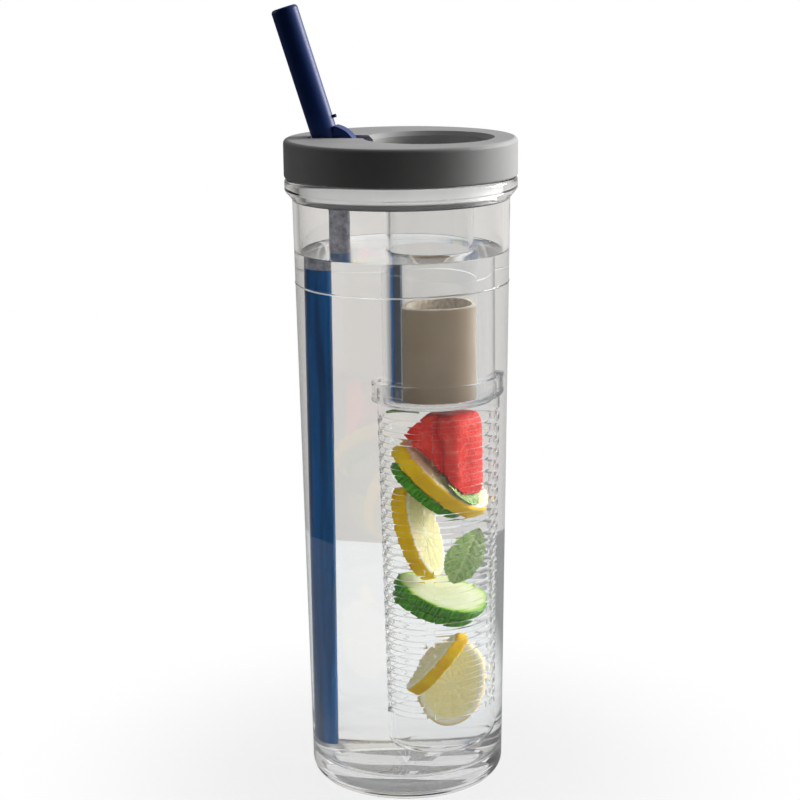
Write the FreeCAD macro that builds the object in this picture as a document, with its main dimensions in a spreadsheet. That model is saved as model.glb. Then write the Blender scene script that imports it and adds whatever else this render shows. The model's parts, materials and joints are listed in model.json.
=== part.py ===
import FreeCAD, Part
import os
import re
import Sketcher

# Fruit infuser water bottle: a clear tapered bottle, a push-in lid with a round well and a flip
# spout, a straw, and a clear stem under the well that carries a slotted basket of fruit.
# Millimetres, +Z up, origin on the bottle's axis at the face it stands on.

doc = FreeCAD.newDocument("infuser_bottle")
sheet = doc.addObject("Spreadsheet::Sheet", "sizes")

SIZES = [
    # bottle
    ("bottle_height", 221.5, "floor to the top of the mouth rim"),
    ("base_radius", 35.0, "outside radius at the floor"),
    ("mouth_radius", 38.4, "outside radius at the mouth"),
    ("bottle_wall", 2.2, "wall of the bottle"),
    ("base_thick", 9.0, "solid base under the water"),
    ("base_round", 6.0, "outer rounding of the base"),
    ("floor_round", 4.0, "inner rounding of the floor"),
    ("groove_inset", 1.5, "flat left between that rounding and the ring moulded under the base"),
    ("groove_width", 6.0, "width of that ring"),
    ("groove_depth", 1.0, "depth of that ring"),
    ("rim_reach", 2.5, "how far the mouth rim stands out"),
    ("rim_height", 4.2, "height of the rim's upright band"),
    ("rim_slope", 3.2, "height of the slope under the rim"),
    ("rim_round", 1.4, "rounding of the rim"),
    # lid
    ("lid_overhang", 0.1, "how far the lid stands out past the mouth rim"),
    ("lid_height", 13.3, "height of the lid shell"),
    ("lid_lift_gap", 0.2, "gap between the rim and the lid shell"),
    ("lid_wall", 3.0, "wall of the lid's skirt"),
    ("lid_top", 3.0, "thickness of the lid's top"),
    ("lid_round", 1.5, "rounding of the lid's top edge"),
    ("lid_foot_round", 0.8, "rounding of the lid's lower edge"),
    ("well_x", 10.05, "well and infuser axis, from the bottle's axis"),
    ("well_radius", 21.5, "radius of the round well"),
    ("well_wall", 1.5, "wall of the well"),
    ("well_bevel", 1.5, "bevel round the well's mouth"),
    # lid core
    ("core_flange_thick", 2.0, "flange of the core, over the rim"),
    ("core_floor_thick", 4.0, "floor of the well"),
    ("core_gap", 0.3, "gap between the core's flange and the lid's skirt"),
    ("rim_gap", 0.5, "gap between the core's flange and the mouth rim"),
    ("plug_depth", 6.8, "depth of the plug in the mouth"),
    ("plug_gap", 0.5, "gap between the plug and the mouth"),
    ("plug_wall", 2.3, "wall of the plug"),
    ("gasket_height", 3.2, "height of the gasket's groove"),
    ("gasket_rise", 1.8, "groove above the plug's lower edge"),
    ("gasket_depth", 1.2, "depth of the gasket's groove"),
    ("gasket_fit", 0.1, "gap round the gasket"),
    ("gasket_round", 0.4, "rounding of the gasket"),
    ("seat_gap", 0.1, "gap between pieces that sit on each other"),
    ("vent_radius", 1.1, "neck of the vent valve"),
    ("vent_head", 1.9, "radius of the vent valve's lower head"),
    ("vent_lip", 1.5, "radius of the vent valve's upper lip"),
    ("vent_head_thick", 1.0, "thickness of the vent valve's heads"),
    # spout
    ("spout_radius", 4.75, "outside radius of the spout"),
    ("spout_bore", 3.0, "radius of the spout's channel"),
    ("spout_length", 53.0, "pivot to the tip"),
    ("spout_round", 1.2, "rounding of the spout's tip"),
    ("spout_lean_deg", 17.3, "lean of the raised spout, outwards, in degrees"),
    ("pivot_inset", 16.1, "lid's outer edge to the spout's pivot"),
    ("pivot_drop", 6.0, "pivot below the lid's top face"),
    ("heel_radius", 10.2, "radius of the spout's rounded heel"),
    ("heel_width", 7.0, "width of the heel"),
    ("heel_start_deg", -4.0, "where the heel starts, in degrees"),
    ("heel_sweep_deg", 66.0, "how far the heel goes round, in degrees"),
    ("nub_radius", 0.6, "radius of the spout's catch"),
    ("nub_length", 1.3, "length of the spout's catch"),
    ("nub_place", 12.2, "pivot to the catch, along the spout"),
    ("trunnion_radius", 1.6, "radius of the spout's side pins"),
    ("trunnion_length", 2.0, "length of the side pins"),
    ("trunnion_fit", 0.05, "running gap round the side pins"),
    ("washer_radius", 2.8, "outside radius of the pivot washers"),
    ("cheek_thick", 2.0, "thickness of the cheeks that hold the pivot"),
    ("cheek_half", 4.6, "half length of a cheek"),
    ("spout_gap", 0.55, "gap on each side of the spout"),
    ("slot_end_gap", 2.8, "gap between the spout and the slot's outer end"),
    ("pocket_reach", 1.65, "how far the pocket under the spout runs out past the pivot"),
    ("pocket_wall", 1.8, "wall of that pocket"),
    # straw
    ("straw_shift", 2.5, "spout's pivot to the straw's axis, inwards"),
    ("straw_radius", 3.8, "outside radius of the straw"),
    ("straw_wall", 0.9, "wall of the straw"),
    ("straw_fit", 0.1, "gap between the straw and its nozzle"),
    ("straw_floor_gap", 2.0, "straw above the bottle's floor"),
    ("nozzle_length", 10.5, "nozzle that the straw is pushed on"),
    ("nozzle_wall", 0.8, "wall of the nozzle"),
    # stem, insert and basket
    ("stem_radius", 15.5, "outside radius of the clear stem"),
    ("stem_wall", 1.5, "wall of the stem"),
    ("stem_floor", 1.8, "closed lower end of the stem"),
    ("stem_bottom", 141.5, "height of the stem's lower end"),
    ("stem_flange", 2.5, "how far the stem's flange stands out"),
    ("stem_flange_thick", 1.1, "thickness of that flange"),
    ("stem_seal_thick", 0.7, "seal under the flange"),
    ("stem_fit", 0.25, "gap round the stem in the lid's floor"),
    ("insert_gap", 0.5, "gap between the insert and the stem"),
    ("insert_height", 34.0, "height of the insert cup"),
    ("insert_wall", 1.6, "wall of the insert cup"),
    ("insert_round", 1.0, "rounding of the insert's lower edge"),
    ("collar_height", 7.4, "height of the basket's collar"),
    ("collar_wall", 2.0, "wall of the collar"),
    ("collar_bead", 0.8, "how far the collar's beads stand out"),
    ("collar_bead_height", 1.5, "height of a bead"),
    ("collar_drop", 1.5, "basket's top above the stem's lower end"),
    ("basket_fit", 0.25, "running gap between the stem and the basket"),
    ("basket_wall", 1.3, "wall of the basket"),
    ("basket_taper", 2.2, "how much the basket's radius shrinks to its floor"),
    ("basket_floor_gap", 4.0, "basket above the bottle's floor"),
    ("basket_round", 4.0, "rounding of the basket's lower edge"),
    ("slot_height", 1.9, "height of a slot"),
    ("slot_pitch", 4.55, "from one row of slots to the next"),
    ("slot_top_gap", 5.0, "basket's top to the first row of slots"),
    ("post_width", 3.4, "width of the posts between the slots"),
    # fruit
    ("fruit_gap", 0.4, "gap round a piece of fruit"),
    ("lemon_thick", 5.2, "thickness of a lemon slice"),
    ("cucumber_thick", 3.5, "thickness of a cucumber slice"),
    ("leaf_thick", 1.2, "thickness of a mint leaf"),
    ("melon_round", 3.5, "rounding of the watermelon chunk"),
    # one length that every cut runs past the solid
    ("overrun", 1.0, "how far a cut runs past its solid"),
]
SLOT_ROWS = 25

for row, (alias, value, meaning) in enumerate(SIZES, 1):
    sheet.set(f"A{row}", meaning)
    sheet.set(f"B{row}", str(value))
    sheet.setAlias(f"B{row}", alias)
doc.recompute()

ALIASES = {alias for alias, value, meaning in SIZES}


def formula(text):
    """Write a formula of size names as an expression on the sheet."""
    return re.sub(r"[a-z_]+", lambda word: f"sizes.{word[0]}" if word[0] in ALIASES else word[0], text)


def number(text):
    """The value of a formula now, in millimetres."""
    return float(sheet.evalExpression(formula(text)))


def bind(item, **formulas):
    """Tie properties of an object to formulas of the sizes."""
    for name, text in formulas.items():
        item.setExpression(name, formula(text))


def place(item, x="0", y="0", z="0"):
    """Tie an object's place to formulas."""
    for axis, text in (("x", x), ("y", y), ("z", z)):
        if text != "0":
            item.setExpression(f"Placement.Base.{axis}", formula(text))
    return item


def turn(item, axis, degrees):
    """Turn an object about an axis by a formula in degrees."""
    item.Placement = FreeCAD.Placement(item.Placement.Base, FreeCAD.Rotation(axis, number(degrees)))
    item.setExpression("Placement.Rotation.Angle", formula(f"({degrees}) * 1 deg"))
    return item


X_AXIS = FreeCAD.Vector(1, 0, 0)
Y_AXIS = FreeCAD.Vector(0, 1, 0)
Z_AXIS = FreeCAD.Vector(0, 0, 1)


def rod(name, radius, height, x="0", y="0", z="0"):
    """An upright cylinder whose lower face is centred on x, y, z."""
    item = doc.addObject("Part::Cylinder", name)
    bind(item, Radius=radius, Height=height)
    return place(item, x, y, z)


def cross_rod(name, radius, half, x="0", z="0"):
    """A cylinder along Y, from -half to half."""
    item = doc.addObject("Part::Cylinder", name)
    bind(item, Radius=radius, Height=f"2 * ({half})")
    item.Placement = FreeCAD.Placement(FreeCAD.Vector(), FreeCAD.Rotation(X_AXIS, -90))
    return place(item, x, f"-({half})", z)


def block(name, x, y, z):
    """A box given by its low and high formulas on each axis."""
    item = doc.addObject("Part::Box", name)
    bind(item, Length=f"({x[1]}) - ({x[0]})", Width=f"({y[1]}) - ({y[0]})", Height=f"({z[1]}) - ({z[0]})")
    return place(item, x[0], y[0], z[0])


def join(name, *pieces):
    """Fuse pieces into one solid."""
    item = doc.addObject("Part::MultiFuse", name)
    item.Shapes = list(pieces)
    item.Refine = True
    return item


def cut(name, base, *tools):
    """Take the tools away from the base."""
    item = doc.addObject("Part::Cut", name)
    item.Base = base
    item.Tool = tools[0] if len(tools) == 1 else join(f"{name}_tools", *tools)
    item.Refine = True
    return item


def turned(name, section, rounds=()):
    """A piece of revolution about Z.

    section is its half section as (radius, height) formulas, in order round the outline.
    rounds lists (corner numbers, radius formula) for the edges that are rounded.
    """
    body = doc.addObject("PartDesign::Body", name)
    outline = body.newObject("Sketcher::SketchObject", f"{name}_section")
    plane = next(item for item in body.Origin.OriginFeatures if item.Role == "XZ_Plane")
    outline.AttachmentSupport = (plane, [""])
    outline.MapMode = "FlatFace"
    points = [FreeCAD.Vector(number(radius), number(height), 0) for radius, height in section]
    count = len(points)
    for index in range(count):
        outline.addGeometry(Part.LineSegment(points[index], points[(index + 1) % count]))
    for index in range(count):
        outline.addConstraint(Sketcher.Constraint("Coincident", index, 2, (index + 1) % count, 1))
    for index, pair in enumerate(section):
        for kind, text, value, line in (("DistanceX", pair[0], points[index].x, -2),
                                        ("DistanceY", pair[1], points[index].y, -1)):
            if text == "0":
                outline.addConstraint(Sketcher.Constraint("PointOnObject", index, 1, line))
            else:
                held = outline.addConstraint(Sketcher.Constraint(kind, -1, 1, index, 1, value))
                outline.setExpression(f"Constraints[{held}]", formula(text))
    spun = body.newObject("PartDesign::Revolution", f"{name}_turned")
    spun.Profile = outline
    spun.ReferenceAxis = (outline, ["V_Axis"])
    spun.Angle = 360
    doc.recompute()
    last = spun
    for corners, radius in rounds:
        names = [edge_at(last.Shape, points[corner]) for corner in corners]
        softened = body.newObject("PartDesign::Fillet", f"{name}_round")
        softened.Base = (last, names)
        bind(softened, Radius=radius)
        doc.recompute()
        last = softened
    return body


def edge_at(shape, corner):
    """The name of the round edge that a corner of a half section makes."""
    def miss(edge):
        if not isinstance(edge.Curve, Part.Circle):
            return float("inf")
        return abs(edge.Curve.Radius - corner.x) + abs(edge.Curve.Center.z - corner.y)
    best = min(range(len(shape.Edges)), key=lambda index: miss(shape.Edges[index]))
    return f"Edge{best + 1}"


PARTS = []


def keep(label, item):
    """Name a finished sub-part."""
    item.Label = label
    PARTS.append(item)
    return item


# Bottle: one clear moulding with a thick base, a slight taper and a rim that the lid sits on.

def bottle_radius(height):
    """Outside radius of the bottle at a height."""
    return f"(base_radius + (mouth_radius - base_radius) * ({height}) / bottle_height)"


RIM_FOOT = "(bottle_height - rim_height - rim_slope)"
RIM_RADIUS = "(mouth_radius + rim_reach)"
GROOVE_OUT = "(base_radius - base_round - groove_inset - groove_depth)"
GROOVE_IN = f"({GROOVE_OUT} - groove_width)"

bottle = turned("bottle", [
    ("0", "0"),
    (f"{GROOVE_IN} - groove_depth", "0"),
    (GROOVE_IN, "groove_depth"),
    (GROOVE_OUT, "groove_depth"),
    (f"{GROOVE_OUT} + groove_depth", "0"),
    ("base_radius", "0"),
    (bottle_radius(RIM_FOOT), RIM_FOOT),
    (RIM_RADIUS, f"{RIM_FOOT} + rim_slope"),
    (RIM_RADIUS, "bottle_height"),
    ("mouth_radius - bottle_wall", "bottle_height"),
    (f"{bottle_radius('base_thick')} - bottle_wall", "base_thick"),
    ("0", "base_thick"),
], rounds=[((5,), "base_round"), ((10,), "floor_round"), ((7, 8), "rim_round")])
keep("bottle_body", bottle)

# Lid shell: the grey cover, with a round well and a slot that the spout folds into.

LID_FOOT = "(bottle_height + lid_lift_gap)"
LID_TOP = f"({LID_FOOT} + lid_height)"
FLOOR_TOP = "(bottle_height + rim_gap + core_flange_thick)"
LID_RADIUS = f"({RIM_RADIUS} + lid_overhang)"
SKIRT_IN = f"({LID_RADIUS} - lid_wall)"
PIVOT_X = f"(pivot_inset - {LID_RADIUS})"
PIVOT_Z = f"({LID_TOP} - pivot_drop)"
SLOT_HALF = "(spout_radius + spout_gap)"
SLOT_END = f"({PIVOT_X} - spout_radius - slot_end_gap)"

shell_cap = turned("shell_cap", [
    (SKIRT_IN, LID_FOOT),
    (LID_RADIUS, LID_FOOT),
    (LID_RADIUS, LID_TOP),
    ("0", LID_TOP),
    ("0", f"{LID_TOP} - lid_top"),
    (SKIRT_IN, f"{LID_TOP} - lid_top"),
], rounds=[((2,), "lid_round"), ((1,), "lid_foot_round")])
well_tube = rod("well_tube", "well_radius + well_wall", f"{LID_TOP} - lid_top / 2 - {FLOOR_TOP} - seat_gap",
                "well_x", "0", f"{FLOOR_TOP} + seat_gap")
well_hole = rod("well_hole", "well_radius", f"{LID_TOP} - {FLOOR_TOP} + overrun", "well_x", "0", FLOOR_TOP)
well_bevel = doc.addObject("Part::Cone", "well_bevel_cut")
bind(well_bevel, Radius1="well_radius", Radius2="well_radius + well_bevel", Height="well_bevel")
place(well_bevel, "well_x", "0", f"{LID_TOP} - well_bevel")
spout_slot = block("spout_slot", (SLOT_END, "well_x"), (f"-{SLOT_HALF}", SLOT_HALF),
                   (FLOOR_TOP, f"{LID_TOP} + overrun"))
keep("lid_shell", cut("shell", join("shell_blank", shell_cap, well_tube), well_hole, well_bevel, spout_slot))

# Lid core: the plug in the mouth, the floor of the well, the spout's pocket and the straw's nozzle.

PLUG_RADIUS = f"({bottle_radius('bottle_height - plug_depth')} - bottle_wall - plug_gap)"
PLUG_FOOT = f"({FLOOR_TOP} - core_flange_thick - plug_depth)"
FLOOR_FOOT = f"({FLOOR_TOP} - core_floor_thick)"
GROOVE_FOOT = f"({PLUG_FOOT} + gasket_rise)"
POCKET_FLOOR = f"({PIVOT_Z} - heel_radius - spout_gap)"
POCKET_FOOT = f"({POCKET_FLOOR} - pocket_wall)"
POCKET_LEFT = f"({PIVOT_X} - pocket_reach)"
POCKET_RIGHT = f"({PIVOT_X} + heel_radius + spout_gap)"
CHEEK_OUT = f"({SLOT_HALF} + cheek_thick)"
STRAW_X = f"({PIVOT_X} + straw_shift)"
NOZZLE_RADIUS = "(straw_radius - straw_wall - straw_fit)"
VENT_X = "well_x"
VENT_Y = "((well_radius + stem_radius + stem_flange + stem_fit) / 2)"
SEAT_DEPTH = "(stem_seal_thick + stem_flange_thick + seat_gap)"

plug = turned("plug", [
    (f"{PLUG_RADIUS} - plug_wall", PLUG_FOOT),
    (PLUG_RADIUS, PLUG_FOOT),
    (PLUG_RADIUS, GROOVE_FOOT),
    (f"{PLUG_RADIUS} - gasket_depth", GROOVE_FOOT),
    (f"{PLUG_RADIUS} - gasket_depth", f"{GROOVE_FOOT} + gasket_height"),
    (PLUG_RADIUS, f"{GROOVE_FOOT} + gasket_height"),
    (PLUG_RADIUS, f"{FLOOR_TOP} - core_flange_thick"),
    (f"{SKIRT_IN} - core_gap", f"{FLOOR_TOP} - core_flange_thick"),
    (f"{SKIRT_IN} - core_gap", FLOOR_TOP),
    ("0", FLOOR_TOP),
    ("0", FLOOR_FOOT),
    (f"{PLUG_RADIUS} - plug_wall", FLOOR_FOOT),
])
pocket_box = block("pocket_box", (f"{POCKET_LEFT} - pocket_wall", f"{POCKET_RIGHT} + pocket_wall"),
                   (f"-{CHEEK_OUT}", CHEEK_OUT), (POCKET_FOOT, FLOOR_TOP))
cheeks = block("cheeks", (f"{PIVOT_X} - cheek_half", f"{PIVOT_X} + cheek_half"), (f"-{CHEEK_OUT}", CHEEK_OUT),
               (f"{FLOOR_TOP} - core_floor_thick / 2", f"{LID_TOP} - lid_top - seat_gap"))
nozzle = rod("nozzle", NOZZLE_RADIUS, "nozzle_length + pocket_wall / 2", STRAW_X, "0",
             f"{POCKET_FOOT} - nozzle_length")
cheek_gap = block("cheek_gap", (SLOT_END, "0"), (f"-{SLOT_HALF}", SLOT_HALF), (FLOOR_TOP, LID_TOP))
pocket = block("pocket", (POCKET_LEFT, POCKET_RIGHT), (f"-{SLOT_HALF}", SLOT_HALF), (POCKET_FLOOR, LID_TOP))
pivot_hole = cross_rod("pivot_hole", "trunnion_radius + trunnion_fit", f"{CHEEK_OUT} + overrun",
                       PIVOT_X, PIVOT_Z)
nozzle_bore = rod("nozzle_bore", f"{NOZZLE_RADIUS} - nozzle_wall",
                  "nozzle_length + pocket_wall + 2 * overrun", STRAW_X, "0",
                  f"{POCKET_FOOT} - nozzle_length - overrun")
stem_hole = rod("stem_hole", "stem_radius + stem_fit", "core_floor_thick + 2 * overrun", "well_x", "0",
                f"{FLOOR_FOOT} - overrun")
stem_seat = rod("stem_seat", "stem_radius + stem_flange + stem_fit", f"{SEAT_DEPTH} + overrun",
                "well_x", "0", f"{FLOOR_TOP} - {SEAT_DEPTH}")
vent_hole = rod("vent_hole", "vent_radius + trunnion_fit", "core_floor_thick + 2 * overrun", VENT_X, VENT_Y,
                f"{FLOOR_FOOT} - overrun")
catch_hole = rod("catch_hole", "2 * nub_radius + spout_gap", "nub_length + spout_gap + overrun",
                 f"{PIVOT_X} + nub_place", "0", f"{FLOOR_TOP} - nub_length - spout_gap")
keep("lid_core", cut("core", join("core_blank", plug, pocket_box, cheeks, nozzle),
                     cheek_gap, pocket, pivot_hole, nozzle_bore, stem_hole, stem_seat, vent_hole, catch_hole))

# Gasket round the plug, and the vent valve in the floor of the well.

GASKET_IN = f"({PLUG_RADIUS} - gasket_depth + gasket_fit)"
GASKET_OUT = f"({PLUG_RADIUS} + plug_gap - gasket_fit)"
keep("lid_gasket", turned("gasket", [
    (GASKET_IN, f"{GROOVE_FOOT} + gasket_fit"),
    (GASKET_OUT, f"{GROOVE_FOOT} + gasket_fit"),
    (GASKET_OUT, f"{GROOVE_FOOT} + gasket_height - gasket_fit"),
    (GASKET_IN, f"{GROOVE_FOOT} + gasket_height - gasket_fit"),
], rounds=[((1, 2), "gasket_round")]))

vent_neck = rod("vent_neck", "vent_radius", "core_floor_thick + 2 * seat_gap + vent_head_thick",
                VENT_X, VENT_Y, f"{FLOOR_FOOT} - seat_gap - vent_head_thick / 2")
vent_foot = rod("vent_foot", "vent_head", "vent_head_thick", VENT_X, VENT_Y,
                f"{FLOOR_FOOT} - seat_gap - vent_head_thick")
vent_cap = rod("vent_cap", "vent_lip", "vent_head_thick", VENT_X, VENT_Y, f"{FLOOR_TOP} + seat_gap")
keep("vent_valve", join("vent", vent_neck, vent_foot, vent_cap))

# Flip spout: made upright about its pivot, then leaned outwards. Its heel fills the slot behind it.

spout_tube = turned("spout_tube", [
    ("0", "0"),
    ("spout_radius", "0"),
    ("spout_radius", "spout_length"),
    ("0", "spout_length"),
], rounds=[((2,), "spout_round")])
spout_hub = cross_rod("spout_hub", "spout_radius", "spout_radius")
spout_heel = doc.addObject("Part::Cylinder", "spout_heel")
bind(spout_heel, Radius="heel_radius", Height="heel_width")
spout_heel.setExpression("Angle", formula("heel_sweep_deg * 1 deg"))
UPRIGHT = FreeCAD.Rotation(X_AXIS, 90)
HEEL_START = FreeCAD.Rotation(Y_AXIS, -number("heel_start_deg"))
spout_heel.Placement = FreeCAD.Placement(FreeCAD.Vector(), HEEL_START.multiply(UPRIGHT))
place(spout_heel, y="heel_width / 2")
spout_nub = rod("spout_nub", "nub_radius", "nub_length + spout_radius - spout_bore")
spout_nub.Placement = FreeCAD.Placement(FreeCAD.Vector(), FreeCAD.Rotation(Y_AXIS, 90))
place(spout_nub, x="spout_bore", z="nub_place")
trunnions = cross_rod("trunnions", "trunnion_radius", "spout_radius + trunnion_length")
spout_channel = rod("spout_channel", "spout_bore", "spout_length + spout_radius + 2 * overrun", "0", "0",
                    "-spout_radius - overrun")
spout_blank = join("spout_blank", spout_tube, spout_hub, spout_heel, spout_nub, trunnions)
spout = cut("spout", spout_blank, spout_channel)
turn(spout, Y_AXIS, "-spout_lean_deg")
place(spout, PIVOT_X, "0", PIVOT_Z)
keep("flip_spout", spout)

# Two washers between the spout's sides and the cheeks.

washer_blank = cross_rod("washer_blank", "washer_radius", "spout_radius + spout_gap - seat_gap",
                         PIVOT_X, PIVOT_Z)
washer_gap = cross_rod("washer_gap", "washer_radius + overrun", "spout_radius + seat_gap", PIVOT_X, PIVOT_Z)
washer_hole = cross_rod("washer_hole", "trunnion_radius + seat_gap", "spout_radius + spout_gap + overrun",
                        PIVOT_X, PIVOT_Z)
keep("pivot_washers", cut("washers", washer_blank, washer_gap, washer_hole))

# Straw, pushed up over the nozzle.

STRAW_FOOT = "(base_thick + straw_floor_gap)"
STRAW_LENGTH = f"({POCKET_FOOT} - seat_gap - {STRAW_FOOT})"
straw_rod = rod("straw_rod", "straw_radius", STRAW_LENGTH, STRAW_X, "0", STRAW_FOOT)
straw_bore = rod("straw_bore", "straw_radius - straw_wall", f"{STRAW_LENGTH} + 2 * overrun", STRAW_X, "0",
                 f"{STRAW_FOOT} - overrun")
keep("straw_tube", cut("straw", straw_rod, straw_bore))

# Stem: a clear cup hung in the floor of the well, with a seal under its flange and an insert cup in it.


def on_well_axis(body):
    """Set a turned piece on the axis of the well."""
    return place(body, "well_x")


STEM_IN = "(stem_radius - stem_wall)"
keep("stem_cup", on_well_axis(turned("stem", [
    ("0", "stem_bottom"),
    ("stem_radius", "stem_bottom"),
    ("stem_radius", f"{FLOOR_TOP} - stem_flange_thick"),
    ("stem_radius + stem_flange", f"{FLOOR_TOP} - stem_flange_thick"),
    ("stem_radius + stem_flange", FLOOR_TOP),
    (STEM_IN, FLOOR_TOP),
    (STEM_IN, "stem_bottom + stem_floor"),
    ("0", "stem_bottom + stem_floor"),
])))
SEAL_FOOT = f"({FLOOR_TOP} - {SEAT_DEPTH})"
keep("stem_seal", on_well_axis(turned("seal", [
    ("stem_radius + stem_fit", SEAL_FOOT),
    ("stem_radius + stem_flange", SEAL_FOOT),
    ("stem_radius + stem_flange", f"{SEAL_FOOT} + stem_seal_thick"),
    ("stem_radius + stem_fit", f"{SEAL_FOOT} + stem_seal_thick"),
])))
INSERT_FOOT = "(stem_bottom + stem_floor + seat_gap)"
INSERT_RADIUS = f"({STEM_IN} - insert_gap)"
keep("insert_cup", on_well_axis(turned("insert", [
    ("0", INSERT_FOOT),
    (INSERT_RADIUS, INSERT_FOOT),
    (INSERT_RADIUS, f"{INSERT_FOOT} + insert_height"),
    (f"{INSERT_RADIUS} - insert_wall", f"{INSERT_FOOT} + insert_height"),
    (f"{INSERT_RADIUS} - insert_wall", f"{INSERT_FOOT} + insert_wall"),
    ("0", f"{INSERT_FOOT} + insert_wall"),
], rounds=[((1,), "insert_round")])))

# Collar and basket: the basket turns on the stem's lower end, held by the collar.

BASKET_TOP = "(stem_bottom + collar_drop)"
BASKET_FOOT = "(base_thick + basket_floor_gap)"
BASKET_HEIGHT = f"({BASKET_TOP} - {BASKET_FOOT})"
BASKET_IN = "(stem_radius + basket_fit)"
COLLAR_OUT = f"({BASKET_IN} + collar_wall)"
COLLAR_TOP = f"({BASKET_TOP} + collar_height)"
keep("basket_collar", on_well_axis(turned("collar", [
    (BASKET_IN, BASKET_TOP),
    (f"{COLLAR_OUT} + collar_bead", BASKET_TOP),
    (f"{COLLAR_OUT} + collar_bead", f"{BASKET_TOP} + collar_bead_height"),
    (COLLAR_OUT, f"{BASKET_TOP} + collar_bead_height"),
    (COLLAR_OUT, f"{COLLAR_TOP} - collar_bead_height"),
    (f"{COLLAR_OUT} + collar_bead", f"{COLLAR_TOP} - collar_bead_height"),
    (f"{COLLAR_OUT} + collar_bead", COLLAR_TOP),
    (BASKET_IN, COLLAR_TOP),
])))

BASKET_BASE = f"({BASKET_IN} - basket_taper)"
basket_shell = on_well_axis(turned("basket_shell", [
    ("0", BASKET_FOOT),
    (f"{BASKET_BASE} + basket_wall", BASKET_FOOT),
    (f"{BASKET_IN} + basket_wall", BASKET_TOP),
    (BASKET_IN, BASKET_TOP),
    (BASKET_BASE, f"{BASKET_FOOT} + basket_wall"),
    ("0", f"{BASKET_FOOT} + basket_wall"),
], rounds=[((1,), "basket_round"), ((4,), "basket_round - basket_wall")]))
SLOT_REACH = f"({BASKET_IN} + basket_wall + overrun)"
slot_rows = []
for row in range(SLOT_ROWS):
    height = f"{BASKET_TOP} - slot_top_gap - slot_height - {row} * slot_pitch"
    slot_rows.append(rod(f"slot_row_{row:02d}", SLOT_REACH, "slot_height", "well_x", "0", height))
slots = doc.addObject("Part::Compound", "slots")
slots.Links = slot_rows
SPAN = (BASKET_FOOT, BASKET_TOP)
post_x = block("post_x", (f"well_x - {SLOT_REACH} - overrun", f"well_x + {SLOT_REACH} + overrun"),
               ("-post_width / 2", "post_width / 2"), SPAN)
post_y = block("post_y", ("well_x - post_width / 2", "well_x + post_width / 2"),
               (f"-{SLOT_REACH} - overrun", f"{SLOT_REACH} + overrun"), SPAN)
slot_gaps = cut("slot_gaps", slots, post_x, post_y)
keep("infuser_basket", cut("basket", basket_shell, slot_gaps))

# Fruit in the basket: slices lie across it at a slant, in a zigzag, with a chunk and leaves between.


def fruit_height(share):
    """Height of a share of the basket, from its floor up."""
    return f"({BASKET_FOOT} + {share} * {BASKET_HEIGHT})"


def fruit_room(share):
    """Inner radius of the basket at that height, less the gap round the fruit."""
    return f"({BASKET_BASE} + basket_taper * {share} - fruit_gap)"


def set_in_basket(item, tilt, swing, height_share, side_share=0.0, depth_share=0.0, along="0", rise="0"):
    """Tilt a piece about Y, swing it about Z, and set it at shares of the room in the basket.

    along moves it down its own slope, and rise along its own normal.
    """
    room = fruit_room(height_share)
    spin = FreeCAD.Rotation(Z_AXIS, swing).multiply(FreeCAD.Rotation(Y_AXIS, tilt))
    item.Placement = FreeCAD.Placement(FreeCAD.Vector(), spin)
    outward = f"(cos({tilt} deg) * {along} + sin({tilt} deg) * {rise})"
    return place(item, f"well_x + {side_share} * {room} + cos({swing} deg) * {outward}",
                 f"{depth_share} * {room} + sin({swing} deg) * {outward}",
                 f"{fruit_height(height_share)} - sin({tilt} deg) * {along} + cos({tilt} deg) * {rise}")


def slice_of(name, thick, tilt, height_share, swing=0, length_share=0.97, width_share=0.94, side_share=0.0,
             depth_share=0.0, sink="0"):
    """An oval slice, long down its slope. sink moves it along its normal, away from the slice above."""
    room = fruit_room(height_share)
    oval = doc.addObject("Part::Ellipse", f"{name}_oval")
    bind(oval, MajorRadius=f"{length_share} * {room}", MinorRadius=f"{width_share} * {room}")
    item = doc.addObject("Part::Extrusion", name)
    item.Base = oval
    item.DirMode = "Custom"
    item.Dir = Z_AXIS
    item.Solid = True
    bind(item, LengthFwd=thick)
    return set_in_basket(item, tilt, swing, height_share, side_share, depth_share,
                         rise=f"(-{thick} / 2 - {sink})")


def leaf_of(name, tilt, height_share, length_share, width_share, swing=0, side_share=0.0, depth_share=0.0,
            along_share=0.0, rise="0"):
    """A mint leaf: a thin oval, long down its slope."""
    room = fruit_room(height_share)
    item = doc.addObject("Part::Ellipsoid", name)
    bind(item, Radius1="leaf_thick / 2", Radius2=f"{length_share} * {room}",
         Radius3=f"{width_share} * {room}")
    return set_in_basket(item, tilt, swing, height_share, side_share, depth_share,
                         along=f"({along_share} * {room})", rise=rise)


UPPER_TILT = 47
UPPER_SHARE = 0.775
keep("lemon_upper", slice_of("lemon_upper_disc", "lemon_thick", UPPER_TILT, UPPER_SHARE,
                             length_share=1.22))
keep("cucumber_upper", slice_of("cucumber_upper_disc", "cucumber_thick", UPPER_TILT, UPPER_SHARE,
                                length_share=0.93, width_share=0.9,
                                sink="(lemon_thick / 2 + cucumber_thick / 2 + fruit_gap)"))
keep("lemon_steep", slice_of("lemon_steep_disc", "lemon_thick", 76, height_share=0.623, swing=-15,
                             length_share=1.24, width_share=0.6, side_share=-0.46))
MIDDLE_TILT = 28
MIDDLE_SWING = -15
MIDDLE_SHARE = 0.44
keep("cucumber_middle", slice_of("cucumber_middle_disc", "cucumber_thick", MIDDLE_TILT, MIDDLE_SHARE,
                                 MIDDLE_SWING, length_share=1.03))
keep("cucumber_under", slice_of("cucumber_under_disc", "cucumber_thick", MIDDLE_TILT, MIDDLE_SHARE,
                                MIDDLE_SWING, length_share=0.93, width_share=0.88,
                                sink="(cucumber_thick + fruit_gap)"))
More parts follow.
